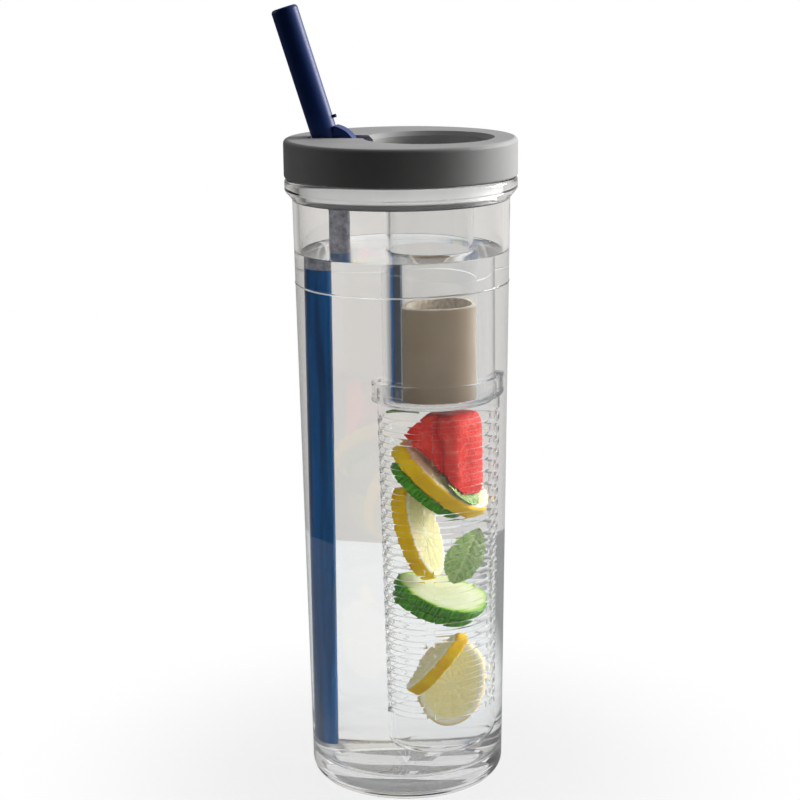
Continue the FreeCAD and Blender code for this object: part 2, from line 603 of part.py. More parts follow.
keep("lemon_lower", slice_of("lemon_lower_disc", "lemon_thick", -52, height_share=0.25, swing=25,
                             length_share=0.95, width_share=0.42, depth_share=-0.4))
keep("lemon_floor", slice_of("lemon_floor_disc", "lemon_thick", 82, height_share=0.175, swing=-72,
                             length_share=1.24, width_share=0.76, side_share=0.1, depth_share=0.27))

# Watermelon chunk: a turned block with one edge to the front, cut off where it rests on the upper lemon.

MELON_TOP_SHARE = 0.97
MELON_MIDDLE_SHARE = 0.85
MELON_FOOT_SHARE = 0.72
MELON_LENGTH_SHARE = 0.71
MELON_DEPTH_SHARE = 0.52
MELON_SIDE_SHARE = 0.06
MELON_SWING = -25
MELON_ROOM = fruit_room(MELON_MIDDLE_SHARE)
MELON_HALF = f"({MELON_LENGTH_SHARE} * {MELON_ROOM})"
MELON_DEEP = f"({MELON_DEPTH_SHARE} * {MELON_ROOM})"
melon_block = doc.addObject("Part::Box", "melon_block")
bind(melon_block, Length=f"2 * {MELON_HALF}", Width=f"2 * {MELON_DEEP}",
     Height=f"{fruit_height(MELON_TOP_SHARE)} - {fruit_height(MELON_FOOT_SHARE)}")
turn(melon_block, Z_AXIS, str(MELON_SWING))
place(melon_block,
      f"well_x + {MELON_SIDE_SHARE} * {MELON_ROOM} - cos({MELON_SWING} deg) * {MELON_HALF}"
      f" + sin({MELON_SWING} deg) * {MELON_DEEP}",
      f"-sin({MELON_SWING} deg) * {MELON_HALF} - cos({MELON_SWING} deg) * {MELON_DEEP}",
      fruit_height(MELON_FOOT_SHARE))
melon_soft = doc.addObject("Part::Fillet", "melon_soft")
melon_soft.Base = melon_block
doc.recompute()
melon_soft.Edges = [(index + 1, number("melon_round"), number("melon_round"))
                    for index in range(len(melon_block.Shape.Edges))]
REST_HALF = f"(2 * {MELON_ROOM})"
REST_SIDE = f"(2 * {REST_HALF})"
REST_HEIGHT = fruit_height(UPPER_SHARE)
REST_DROP = f"({REST_SIDE} - lemon_thick / 2 - leaf_thick - 2 * fruit_gap)"
melon_rest = doc.addObject("Part::Box", "melon_rest")
bind(melon_rest, Length=REST_SIDE, Width=REST_SIDE, Height=REST_SIDE)
turn(melon_rest, Y_AXIS, str(UPPER_TILT))
place(melon_rest,
      f"well_x - {REST_HALF} * cos({UPPER_TILT} deg) - sin({UPPER_TILT} deg) * {REST_DROP}",
      f"-{REST_HALF}",
      f"{REST_HEIGHT} + {REST_HALF} * sin({UPPER_TILT} deg) - cos({UPPER_TILT} deg) * {REST_DROP}")
keep("watermelon_chunk", cut("melon", melon_soft, melon_rest))

# Mint: one leaf at the top, under the stem, one pressed under the chunk, one that stands and shows its face.

keep("mint_top", leaf_of("mint_top_leaf", 0, MELON_TOP_SHARE, length_share=0.3, width_share=0.22,
                         side_share=-0.62, depth_share=-0.3, rise="(fruit_gap + leaf_thick / 2)"))
keep("mint_pressed", leaf_of("mint_pressed_leaf", UPPER_TILT, UPPER_SHARE, length_share=0.57,
                             width_share=0.56, depth_share=-0.28, along_share=0.43,
                             rise="(lemon_thick / 2 + fruit_gap + leaf_thick / 2)"))
keep("mint_standing", leaf_of("mint_standing_leaf", 72, height_share=0.56, length_share=0.74,
                              width_share=0.44, swing=-68, side_share=0.57, depth_share=-0.2))

doc.recompute()
for item in doc.Objects:
    if "Invalid" in item.State or "Error" in item.State:
        raise RuntimeError(f"{item.Name} failed: {item.State}")
for item in PARTS:
    if item.Shape.isNull() or not item.Shape.isValid():
        raise RuntimeError(f"{item.Label} has no valid shape")

os.makedirs("parts", exist_ok=True)
for item in PARTS:
    item.Shape.exportStep(f"parts/{item.Label}.step")
    box = item.Shape.BoundBox
    print(f"{item.Label}: {len(item.Shape.Solids)} solid(s), {item.Shape.Volume / 1000:.2f} ml,",
          f"z {box.ZMin:.2f} to {box.ZMax:.2f}, x {box.XMin:.2f} to {box.XMax:.2f}")
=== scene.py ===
# %% [markdown]
# A fruit infuser water bottle, dressed for its portrait.
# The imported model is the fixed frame: every piece made here takes its place from the boxes of that
# frame, in metres, with +Z up. What is right there keeps its shape and only gets a finish. Clear
# mouldings, water and fruit are made anew as fine surfaces, because light passes through them and
# shows every facet.

# %% Load the frame
import json
import math

import bmesh
import bpy
import numpy as np
from mathutils import Matrix, Vector

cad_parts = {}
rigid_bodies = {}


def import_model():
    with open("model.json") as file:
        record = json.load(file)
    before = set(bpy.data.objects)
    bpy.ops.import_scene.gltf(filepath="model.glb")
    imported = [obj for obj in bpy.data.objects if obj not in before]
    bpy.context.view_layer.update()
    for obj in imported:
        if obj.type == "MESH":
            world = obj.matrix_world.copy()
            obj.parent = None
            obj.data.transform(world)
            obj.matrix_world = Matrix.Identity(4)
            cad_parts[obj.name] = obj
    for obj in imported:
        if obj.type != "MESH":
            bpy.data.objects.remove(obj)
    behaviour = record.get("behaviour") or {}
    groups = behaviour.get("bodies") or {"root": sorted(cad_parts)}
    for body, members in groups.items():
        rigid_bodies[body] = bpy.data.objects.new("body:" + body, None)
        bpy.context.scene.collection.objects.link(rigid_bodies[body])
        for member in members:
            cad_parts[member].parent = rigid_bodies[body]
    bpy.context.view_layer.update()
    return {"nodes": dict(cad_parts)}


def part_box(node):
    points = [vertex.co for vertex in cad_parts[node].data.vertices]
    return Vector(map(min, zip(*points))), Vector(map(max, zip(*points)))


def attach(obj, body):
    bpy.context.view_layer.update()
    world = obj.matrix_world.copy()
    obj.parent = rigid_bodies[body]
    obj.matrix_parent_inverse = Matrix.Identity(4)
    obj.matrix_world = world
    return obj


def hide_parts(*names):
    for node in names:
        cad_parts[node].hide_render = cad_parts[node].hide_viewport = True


for leftover in list(bpy.data.objects):
    bpy.data.objects.remove(leftover)

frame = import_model()
nodes = frame["nodes"]
scene = bpy.context.scene
MM = 0.001

# %% [markdown]
# The camera stands in front of the bottle, a little above it, and looks down at it.
# A long lens keeps the sides of the bottle nearly parallel, as in the photograph. The distance and
# the tilt come from the ellipses of the lid and from the narrowing of the bottle towards its base.

# %% Camera
CAMERA_PLACE = Vector((-1.257, -701.0, 305.6)) * MM
CAMERA_TILT = 0.231
CAMERA_ROLL = -0.012
VIEW_TURN = math.radians(10)
IMAGE_SIDE = 800
FOCAL_PIXELS = 2001.95
SENSOR = 36.0


def new_object(name, data):
    """Make an object of a mesh, lamp or camera, and put it in the scene."""
    item = bpy.data.objects.new(name, data)
    scene.collection.objects.link(item)
    return item


lens = bpy.data.cameras.new("camera")
lens.sensor_width = SENSOR
lens.lens = FOCAL_PIXELS * SENSOR / IMAGE_SIDE
camera = new_object("camera", lens)
scene.camera = camera
STAGE = Matrix.Rotation(VIEW_TURN, 4, "Z")
camera.matrix_world = (STAGE @ Matrix.Translation(CAMERA_PLACE)
                       @ Matrix.Rotation(math.pi / 2 - CAMERA_TILT, 4, "X")
                       @ Matrix.Rotation(CAMERA_ROLL, 4, "Z"))
print("camera: lens", round(lens.lens, 1), "mm")

# %% [markdown]
# Every finish is a small tree of nodes, so a few helpers keep the trees short to write.
# A node takes either a plain value or another node's output on each of its sockets.

# %% Node helpers


def add_node(tree, kind, sockets=None, **settings):
    """Add a shader node, set its options, and fill its sockets with values or links."""
    item = tree.nodes.new("ShaderNode" + kind)
    for name, value in settings.items():
        setattr(item, name, value)
    for socket, value in (sockets or {}).items():
        if isinstance(value, bpy.types.NodeSocket):
            tree.links.new(value, item.inputs[socket])
        else:
            item.inputs[socket].default_value = value
    return item


def coordinates(tree, kind="Object"):
    """Coordinates of the point that is shaded."""
    return add_node(tree, "TexCoord").outputs[kind]


def split(tree, vector):
    """The three numbers of a vector."""
    return add_node(tree, "SeparateXYZ", {0: vector}).outputs


def length_of(tree, vector):
    """Length of a vector."""
    return add_node(tree, "VectorMath", {0: vector}, operation="LENGTH").outputs["Value"]


def sums(tree, operation, first, second=0.0):
    """One arithmetic step between two values."""
    return add_node(tree, "Math", {0: first, 1: second}, operation=operation).outputs[0]


def times(tree, first, second):
    """Product of two values."""
    return sums(tree, "MULTIPLY", first, second)


def ramp(tree, value, stops, easing="LINEAR"):
    """A run of colours; stops are (position, colour), where a single number is a grey."""
    item = add_node(tree, "ValToRGB", {"Fac": value})
    item.color_ramp.interpolation = easing
    band = item.color_ramp.elements
    while len(band) < len(stops):
        band.new(1.0)
    for element, (position, colour) in zip(band, stops):
        element.position = position
        element.color = (*np.broadcast_to(colour, 3).tolist(), 1.0)
    return item.outputs["Color"]


NOISE_LOW, NOISE_HIGH = 0.3, 0.7


def spread(tree, speckle, first, second):
    """Two colours or levels spread over the usual range of a speckle."""
    return ramp(tree, speckle, [(NOISE_LOW, first), (NOISE_HIGH, second)])


def blend(tree, share, first, second):
    """Mix two colours by a share."""
    return add_node(tree, "Mix", {0: share, 6: first, 7: second}, data_type="RGBA").outputs[2]


def noise(tree, scale, detail=3.0, place=None, roughness=0.5):
    """Soft random speckle from 0 to 1, on Object coordinates unless a place is given."""
    where = place or coordinates(tree)
    sockets = {"Vector": where, "Scale": scale, "Detail": detail, "Roughness": roughness}
    return add_node(tree, "TexNoise", sockets).outputs["Fac"]


def bumps(tree, height, strength, depth):
    """A surface normal that follows a height."""
    sockets = {"Height": height, "Strength": strength, "Distance": depth}
    return add_node(tree, "Bump", sockets).outputs["Normal"]


def new_finish(name, **sockets):
    """A material with one shader; sockets are given with _ for each space in their names."""
    material = bpy.data.materials.new(name)
    material.use_nodes = True
    tree = material.node_tree
    shader = tree.nodes["Principled BSDF"]
    for socket, value in sockets.items():
        shader.inputs[socket.replace("_", " ")].default_value = value
    return material, tree, shader


def new_flesh(name, specular, weight=0.05, depth=1.0 * MM):
    """A finish for fruit and leaves, where some light wanders under the surface."""
    return new_finish(name, Subsurface_Weight=weight, Subsurface_Scale=depth, Specular_IOR_Level=specular)


def plug_in(tree, shader, **sockets):
    """Link node outputs to the shader."""
    for socket, output in sockets.items():
        tree.links.new(output, shader.inputs[socket.replace("_", " ")])


def mix_in(tree, share, second):
    """Mix another shader into what a material's surface already is."""
    surface = tree.nodes["Material Output"].inputs["Surface"]
    both = add_node(tree, "MixShader", {0: share, 1: surface.links[0].from_socket, 2: second})
    tree.links.new(both.outputs[0], surface)


# %% [markdown]
# A finish is put on a CAD node by filling its material slots; its mesh stays as it is.
# New pieces are grids of points. Helpers round an outline, turn it about an upright axis, join the
# grid into faces, and put the arrays into a mesh that rides on a body.

# %% Piece helpers
WELD = 1e-6
MILLILITRE = 1e-6


def dress(node, material):
    """Put a finish on a CAD node."""
    slots = nodes[node].data.materials
    slots.clear()
    slots.append(material)


def middle(node):
    """Middle of a node's box."""
    low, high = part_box(node)
    return (np.array(low) + np.array(high)) / 2


def eased(count):
    """Shares from 0 to 1 that lie closer together towards both ends."""
    return (1 - np.cos(np.linspace(0, np.pi, count))) / 2


def round_angles(count):
    """Angles of evenly spaced columns round an axis."""
    return np.arange(count) * 2 * np.pi / count


def grid_faces(rows, columns):
    """Quads between neighbouring rows, closed round the columns, as an array of corner numbers."""
    index = np.arange(rows * columns).reshape(rows, columns)
    beside = np.roll(index, -1, axis=1)
    return np.stack([index[:-1], beside[:-1], beside[1:], index[1:]], axis=-1)


def add_piece(name, points, faces, material, body, replaces=(), flat=None):
    """Make a mesh of points and quads, weld its seams and poles, and let it ride on a body.

    flat gives each point a place on the piece's own UV map.
    """
    points = points.reshape(-1, 3)
    used, faces = np.unique(faces.reshape(-1, 4), return_inverse=True)
    faces = faces.reshape(-1, 4)
    mesh = bpy.data.meshes.new(name)
    mesh.from_pydata(points[used].tolist(), [], faces.tolist())
    if flat is not None:
        chart = mesh.uv_layers.new(name="flat")
        chart.data.foreach_set("uv", flat.reshape(-1, 2)[used][faces.ravel()].ravel())
    work = bmesh.new()
    work.from_mesh(mesh)
    bmesh.ops.remove_doubles(work, verts=work.verts, dist=WELD)
    bmesh.ops.recalc_face_normals(work, faces=work.faces)
    volume = work.calc_volume(signed=True)
    if volume < 0:
        bmesh.ops.reverse_faces(work, faces=work.faces)
    work.to_mesh(mesh)
    work.free()
    mesh.shade_smooth()
    mesh.materials.append(material)
    piece = new_object(name, mesh)
    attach(piece, body)
    if replaces:
        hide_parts(*replaces)
    counts = f"{len(mesh.vertices)} points, {len(mesh.polygons)} faces"
    print(f"{name}: {counts}, {abs(volume) / MILLILITRE:.2f} ml")


GUARD = 0.3 * MM
ARC_POINTS = 8


def guarded(path):
    """Add a point near both ends of every long straight run, so that the shading turns only at corners."""
    start, run = path[:-1], np.diff(path, axis=0)
    length = np.linalg.norm(run, axis=1)[:, None]
    nudge = run * GUARD / np.maximum(length, GUARD)
    rows = np.stack([start, start + nudge, start + run - nudge], axis=1)
    is_long = length[:, 0] > 4 * GUARD
    wanted = np.stack([np.ones_like(is_long), is_long, is_long], axis=1)
    return np.concatenate([rows[wanted], path[-1:]])


def rounded(corners):
    """Round an outline of (radius, height, rounding) corners.

    Each corner becomes an arc that touches both its sides: its middle lies on the line that halves
    the corner, and its points turn evenly from one side to the other.
    """
    corners = np.array(corners, float)
    spots = corners[:, :2]
    path = [spots[:1]]
    for before, spot, after, rounding in zip(spots[:-2], spots[1:-1], spots[2:], corners[1:-1, 2]):
        if rounding == 0:
            path.append(spot[None])
            continue
        back = (before - spot) / np.linalg.norm(before - spot)
        onward = (after - spot) / np.linalg.norm(after - spot)
        half = np.arccos(np.clip(back @ onward, -1, 1)) / 2
        reach = rounding / np.tan(half)
        centre = spot + (back + onward) / np.linalg.norm(back + onward) * rounding / np.sin(half)
        turn = np.pi - 2 * half
        share = np.linspace(0, 1, ARC_POINTS)[:, None]
        first, last = spot + back * reach - centre, spot + onward * reach - centre
        arc = np.sin((1 - share) * turn) * first + np.sin(share * turn) * last
        path.append(centre + arc / np.sin(turn))
    path.append(spots[-1:])
    return guarded(np.concatenate(path))


def lathe(radius, height, centre=(0.0, 0.0), columns=192):
    """Turn rows of radius and height about an upright axis.

    A point at angle a is centre + radius * (cos a, sin a) at its row's height. Radius and height are
    one value for each row, or one for each row and column.
    """
    angle = round_angles(columns)
    radius = np.asarray(radius).reshape(len(radius), -1)
    height = np.asarray(height).reshape(len(height), -1)
    centre = np.broadcast_to(centre, (len(radius), 2))
    x = centre[:, :1] + radius * np.cos(angle)
    y = centre[:, 1:] + radius * np.sin(angle)
    z = np.broadcast_to(height, x.shape)
    return np.stack([x, y, z], axis=-1), grid_faces(len(radius), columns)


# %% [markdown]
# Clear plastic is one shader that lets light through and bends it. The bottle and the stem stand in
# air. The collar stands in water, which bends light nearly as much as plastic, so its bending is the
# ratio of the two. The basket's is set a little lower still, so that the fruit behind its many rings
# stays readable. Fine waves of the moulding disturb the surfaces a little.
# The plain shadow of a clear wall would be black. For the rays that look for lamps each surface is
# a pane instead, which lets a share of their light through.

# %% Clear finishes
PLASTIC_BEND = 1.49
WATER_BEND = 1.333
BASKET_BEND = 1.07
LAMP_SHARE = 0.82


def pass_lamps(tree):
    """Let a share of the lamps' light through each surface, where a plain shadow would stop it all."""
    is_shadow = add_node(tree, "LightPath").outputs["Is Shadow Ray"]
    pane = add_node(tree, "BsdfTransparent", {"Color": (LAMP_SHARE, LAMP_SHARE, LAMP_SHARE, 1)})
    mix_in(tree, is_shadow, pane.outputs[0])


def clear_finish(name, bend, tint, wave_scale, wave_depth):
    """Clear plastic: light passes through, and slow waves of the moulding bend it a little."""
    material, tree, shader = new_finish(name, Base_Color=(*tint, 1), IOR=bend, Transmission_Weight=1.0)
    haze = ramp(tree, noise(tree, wave_scale * 4), [(0.45, 0.0), (0.8, 0.03)])
    plug_in(tree, shader, Roughness=haze,
            Normal=bumps(tree, noise(tree, wave_scale, 1.0), 0.25, wave_depth))
    pass_lamps(tree)
    return material


CLEAR_BOTTLE = clear_finish("clear_bottle_wall", PLASTIC_BEND, (0.985, 0.99, 0.99), 60, 0.15 * MM)
CLEAR_STEM = clear_finish("clear_stem_wall", PLASTIC_BEND, (0.985, 0.99, 0.99), 80, 0.1 * MM)
CLEAR_COLLAR = clear_finish("clear_collar", PLASTIC_BEND / WATER_BEND, (0.98, 0.985, 0.985), 120, 0.1 * MM)
CLEAR_BASKET = clear_finish("clear_basket_wall", BASKET_BEND, (0.98, 0.985, 0.985), 120, 0.1 * MM)
WATER, water_tree, water_shader = new_finish("water", Base_Color=(0.992, 0.996, 1, 1), IOR=WATER_BEND,
                                             Transmission_Weight=1.0, Roughness=0.0, Specular_IOR_Level=0.1)
plug_in(water_tree, water_shader,
        Normal=bumps(water_tree, noise(water_tree, 90, 1.0), 0.1, 0.1 * MM))
pass_lamps(water_tree)
print("clear finishes: bottle, stem, collar, basket and water; lamp share of a surface", LAMP_SHARE)

# %% [markdown]
# The bottle is one moulding: a thick base with a shallow ring under it, a wall that widens slowly,
# a fine raised ring below the shoulder, and a rim that the lid sits on.
# It could keep its CAD mesh, but refraction would show its facets, so the same half section is
# turned again in fine steps with every corner rounded.

# %% Bottle
bottle_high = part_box("bottle_body")[1]
BOTTLE_HEIGHT = bottle_high.z
RIM_RADIUS = bottle_high.x
BASE_RADIUS = 35.0 * MM
MOUTH_RADIUS = 38.4 * MM
BOTTLE_WALL = 2.2 * MM
BASE_THICK = 9.0 * MM
BASE_ROUND = 6.0 * MM
FLOOR_ROUND = 4.0 * MM
RING_OUT = 26.5 * MM
RING_IN = 20.5 * MM
RING_DEPTH = 1.0 * MM
RIM_FOOT = BOTTLE_HEIGHT - 7.4 * MM
RIM_SHOULDER = BOTTLE_HEIGHT - 4.2 * MM
RIM_ROUND = 1.4 * MM
LINE_HEIGHT = 184.5 * MM
LINE_HALF = 0.4 * MM
LINE_RISE = 0.2 * MM
SMALL_ROUND = 0.3 * MM


def wall_radius(height):
    """Outside radius of the bottle: it grows evenly from the base to the mouth."""
    return BASE_RADIUS + (MOUTH_RADIUS - BASE_RADIUS) * height / BOTTLE_HEIGHT


bottle_outline = rounded([
    (0, 0, 0),
    (RING_IN - RING_DEPTH, 0, SMALL_ROUND),
    (RING_IN, RING_DEPTH, SMALL_ROUND),
    (RING_OUT, RING_DEPTH, SMALL_ROUND),
    (RING_OUT + RING_DEPTH, 0, SMALL_ROUND),
    (BASE_RADIUS, 0, BASE_ROUND),
    (wall_radius(LINE_HEIGHT - LINE_HALF), LINE_HEIGHT - LINE_HALF, LINE_RISE),
    (wall_radius(LINE_HEIGHT) + LINE_RISE, LINE_HEIGHT, LINE_RISE),
    (wall_radius(LINE_HEIGHT + LINE_HALF), LINE_HEIGHT + LINE_HALF, LINE_RISE),
    (wall_radius(RIM_FOOT), RIM_FOOT, RIM_ROUND),
    (RIM_RADIUS, RIM_SHOULDER, RIM_ROUND),
    (RIM_RADIUS, BOTTLE_HEIGHT, RIM_ROUND),
    (MOUTH_RADIUS - BOTTLE_WALL, BOTTLE_HEIGHT, 2 * SMALL_ROUND),
    (wall_radius(BASE_THICK) - BOTTLE_WALL, BASE_THICK, FLOOR_ROUND),
    (0, BASE_THICK, 0),
])
points, faces = lathe(*bottle_outline.T, columns=256)
add_piece("bottle_wall", points, faces, CLEAR_BOTTLE, "bottle", ["bottle_body"])

# %% [markdown]
# The raised ring shows as a fine white line, and that line is a painted highlight. It could be a
# piece of its own, but it is part of the wall. So a translucent white is mixed into the wall's
# finish where a point lies at the ring's height and on the outside.

# %% Ring line
LINE_BAND = 0.25 * MM
LINE_HIGHLIGHT_SHARE = 0.6


def about_axis(tree, axis=(0.0, 0.0)):
    """Distance from an upright axis, and height, on Object coordinates."""
    sockets = {0: coordinates(tree), 1: (*axis, 0)}
    part = split(tree, add_node(tree, "VectorMath", sockets, operation="SUBTRACT").outputs[0])
    level = add_node(tree, "CombineXYZ", {0: part[0], 1: part[1]})
    return length_of(tree, level.outputs[0]), part[2]


def paint_line_highlight(tree):
    """Paint a highlight along the raised ring: mix a translucent white into the wall's finish."""
    away, height = about_axis(tree)
    off_line = sums(tree, "ABSOLUTE", sums(tree, "SUBTRACT", height, LINE_HEIGHT))
    is_outside = sums(tree, "GREATER_THAN", away, wall_radius(LINE_HEIGHT) - BOTTLE_WALL / 2)
    on_line = times(tree, sums(tree, "LESS_THAN", off_line, LINE_BAND), is_outside)
    # Painted highlight: a translucent white along the ring.
    line_highlight_white = add_node(tree, "BsdfTranslucent", {"Color": (0.95, 0.95, 0.95, 1)})
    mix_in(tree, times(tree, on_line, LINE_HIGHLIGHT_SHARE), line_highlight_white.outputs[0])


paint_line_highlight(CLEAR_BOTTLE.node_tree)
print("ring line at", round(LINE_HEIGHT / MM, 1), "mm")

# %% [markdown]
# The stem is a clear tube with a closed lower end. It hangs in the floor of the lid's well, so the
# insert cup inside it stays dry.

# %% Stem
stem_low, stem_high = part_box("stem_cup")
WELL_AXIS = middle("stem_cup")[:2]
STEM_RADIUS = 15.5 * MM
STEM_WALL = 1.5 * MM
STEM_FLOOR = 1.8 * MM
STEM_FLANGE_THICK = 1.1 * MM
STEM_FLANGE_RADIUS = (stem_high.x - stem_low.x) / 2
STEM_ROUND = 1.0 * MM
stem_outline = rounded([
    (0, stem_low.z, 0),
    (STEM_RADIUS, stem_low.z, STEM_ROUND),
    (STEM_RADIUS, stem_high.z - STEM_FLANGE_THICK, SMALL_ROUND),
    (STEM_FLANGE_RADIUS, stem_high.z - STEM_FLANGE_THICK, SMALL_ROUND),
    (STEM_FLANGE_RADIUS, stem_high.z, SMALL_ROUND),
    (STEM_RADIUS - STEM_WALL, stem_high.z, SMALL_ROUND),
    (STEM_RADIUS - STEM_WALL, stem_low.z + STEM_FLOOR, STEM_ROUND),
    (0, stem_low.z + STEM_FLOOR, 0),
])
points, faces = lathe(*stem_outline.T, WELL_AXIS)
add_piece("stem_wall", points, faces, CLEAR_STEM, "lid", ["stem_cup"])

# %% [markdown]
# The water fills the bottle to a little under the shoulder and stands round the stem. Its surface
# climbs where it meets a wall. It is one closed surface: floor, wall, top, then down along the stem.
# It reaches a tenth of a millimetre into the plastic: where two clear things only touched, light
# would cross a thin gap of air and sparkle.

# %% Water
WATER_LEVEL = 195.3 * MM
LAP = 0.1 * MM
CLIMB = 0.7 * MM
CLIMB_REACH = 1.4 * MM
TOP_ROWS = 40
water_wall = rounded([
    (0, BASE_THICK - LAP, 0),
    (wall_radius(BASE_THICK) - BOTTLE_WALL + LAP, BASE_THICK - LAP, FLOOR_ROUND),
    (wall_radius(WATER_LEVEL + CLIMB) - BOTTLE_WALL + LAP, WATER_LEVEL + CLIMB, 0),
])
share = eased(TOP_ROWS)
outer_radius, stem_hole = water_wall[-1, 0], STEM_RADIUS - LAP
gap = outer_radius - stem_hole
climb_share = np.exp(-share * gap / CLIMB_REACH) + np.exp((share - 1) * gap / CLIMB_REACH)
top_height = WATER_LEVEL + CLIMB * climb_share
stem_pocket = rounded([
    (stem_hole, top_height[-1], 0),
    (stem_hole, stem_low.z + LAP, STEM_ROUND),
    (0, stem_low.z + LAP, 0),
])
water_radius = np.concatenate([water_wall[:, 0], outer_radius - share * gap, stem_pocket[:, 0]])
water_height = np.concatenate([water_wall[:, 1], top_height, stem_pocket[:, 1]])
lean = np.concatenate([np.zeros(len(water_wall)), share, np.ones(len(stem_pocket))])[:, None]
points, faces = lathe(water_radius, water_height, lean * WELL_AXIS, columns=256)
add_piece("water", points, faces, WATER, "bottle")

# %% [markdown]
# The collar holds the basket on the stem's lower end. It has a bead at each edge and small lugs
# between them.

# %% Collar
collar_low, collar_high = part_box("basket_collar")
COLLAR_IN = STEM_RADIUS + 0.25 * MM
BEAD_RADIUS = (collar_high.x - collar_low.x) / 2
BEAD_HEIGHT = 1.5 * MM
BEAD_RISE = 0.8 * MM
LUGS = 12
LUG_SHARPNESS = 40
collar_outline = rounded([
    (COLLAR_IN, (collar_low.z + collar_high.z) / 2, 0),
    (COLLAR_IN, collar_low.z, SMALL_ROUND),
    (BEAD_RADIUS, collar_low.z, 2 * SMALL_ROUND),
    (BEAD_RADIUS, collar_low.z + BEAD_HEIGHT, 2 * SMALL_ROUND),
    (BEAD_RADIUS - BEAD_RISE, collar_low.z + BEAD_HEIGHT, SMALL_ROUND),
    (BEAD_RADIUS - BEAD_RISE, collar_high.z - BEAD_HEIGHT, SMALL_ROUND),
    (BEAD_RADIUS, collar_high.z - BEAD_HEIGHT, 2 * SMALL_ROUND),
    (BEAD_RADIUS, collar_high.z, 2 * SMALL_ROUND),
    (COLLAR_IN, collar_high.z, SMALL_ROUND),
    (COLLAR_IN, (collar_low.z + collar_high.z) / 2, 0),
])
COLLAR_COLUMNS = 360
angle = round_angles(COLLAR_COLUMNS)
lug = np.exp(LUG_SHARPNESS * (np.cos(LUGS * angle) - 1))
band = (np.abs(collar_outline[:, 0] - BEAD_RADIUS + BEAD_RISE) < LAP).astype(float)[:, None]
collar_radius = collar_outline[:, :1] + band * lug * BEAD_RISE
points, faces = lathe(collar_radius, collar_outline[:, 1], WELL_AXIS, COLLAR_COLUMNS)
add_piece("collar_ring", points, faces, CLEAR_COLLAR, "basket", ["basket_collar"])

# %% [markdown]
# The basket is a tapered cup with rows of slots between four posts, so that it reads as a stack of
# rounded rings. It could be cut from a plain cup, but the edges would stay sharp. Here the wall's
# thickness is a formula instead: full in the middle of a ring or post and zero at the edge of a
# slot, like half an ellipse. The cells inside a slot are left out, and its edges weld by themselves.

# %% Basket
basket_low, basket_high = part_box("infuser_basket")
BASKET_TOP_RADIUS = (basket_high.x - basket_low.x) / 2
BASKET_TAPER = 2.2 * MM
BASKET_WALL = 1.3 * MM
HALF_WALL = BASKET_WALL / 2
BASKET_ROUND = 4.0 * MM
SLOT_ROWS = 25
SLOT_HEIGHT = 1.9 * MM
SLOT_PITCH = 4.55 * MM
SLOT_TOP = basket_high.z - 5.0 * MM
RING_HALF = (SLOT_PITCH - SLOT_HEIGHT) / 2
POST_HALF = 1.7 * MM
EDGE_ROUND = 0.45 * MM
RIM_BAND = 1.5 * MM
POSTS = 4
RING_STEPS = 8
POST_STEPS = 6
SECTOR_STEPS = 26


def basket_middle(height):
    """Radius of the middle of the basket's wall: it narrows evenly towards the floor."""
    drop = (basket_high.z - height) / (basket_high.z - basket_low.z)
    return BASKET_TOP_RADIUS - HALF_WALL - BASKET_TAPER * drop


def off_slots(height):
    """Distance of each height from the nearest row of slots, below zero inside a slot."""
    below_top = SLOT_TOP - np.asarray(height)[:, None]
    off_middle = np.abs(below_top - SLOT_PITCH * np.arange(SLOT_ROWS) - SLOT_HEIGHT / 2)
    return off_middle.min(axis=1) - SLOT_HEIGHT / 2


def swell(distance, reach):
    """Share of the full thickness at a distance from an edge: a quarter of an ellipse."""
    return np.sqrt(1 - (1 - np.clip(distance / reach, 0, 1)) ** 2)


slot_tops = SLOT_TOP - SLOT_PITCH * np.arange(SLOT_ROWS)
ring_rows = (slot_tops[:, None] + 2 * RING_HALF * eased(RING_STEPS + 1)).ravel()
slot_rows = (slot_tops[:, None] - SLOT_HEIGHT * np.array([0.33, 0.67])).ravel()
foot_top = slot_tops[-1] - SLOT_HEIGHT
foot_rows = foot_top - np.array([0, 0.1, 0.3, 0.6, 1.0, 2.0, 4.0]) * RING_HALF
wall_rows = np.unique(np.round(np.concatenate([ring_rows, slot_rows, foot_rows]), 7))
wall_rows = wall_rows[wall_rows < basket_high.z - RIM_BAND]
ring_share = swell(off_slots(wall_rows), EDGE_ROUND)

post_angle = POST_HALF / BASKET_TOP_RADIUS
post_columns = post_angle * (2 * eased(POST_STEPS + 1) - 1)
sector = 2 * np.pi / POSTS
sector_columns = np.linspace(post_angle, sector - post_angle, SECTOR_STEPS + 1)[1:-1]
columns = np.concatenate([post_columns, sector_columns])
angles = (sector * np.arange(POSTS)[:, None] + columns).ravel()
post_miss = post_angle - np.abs((angles + sector / 2) % sector - sector / 2)
post_share = swell(post_miss, EDGE_ROUND / BASKET_TOP_RADIUS)

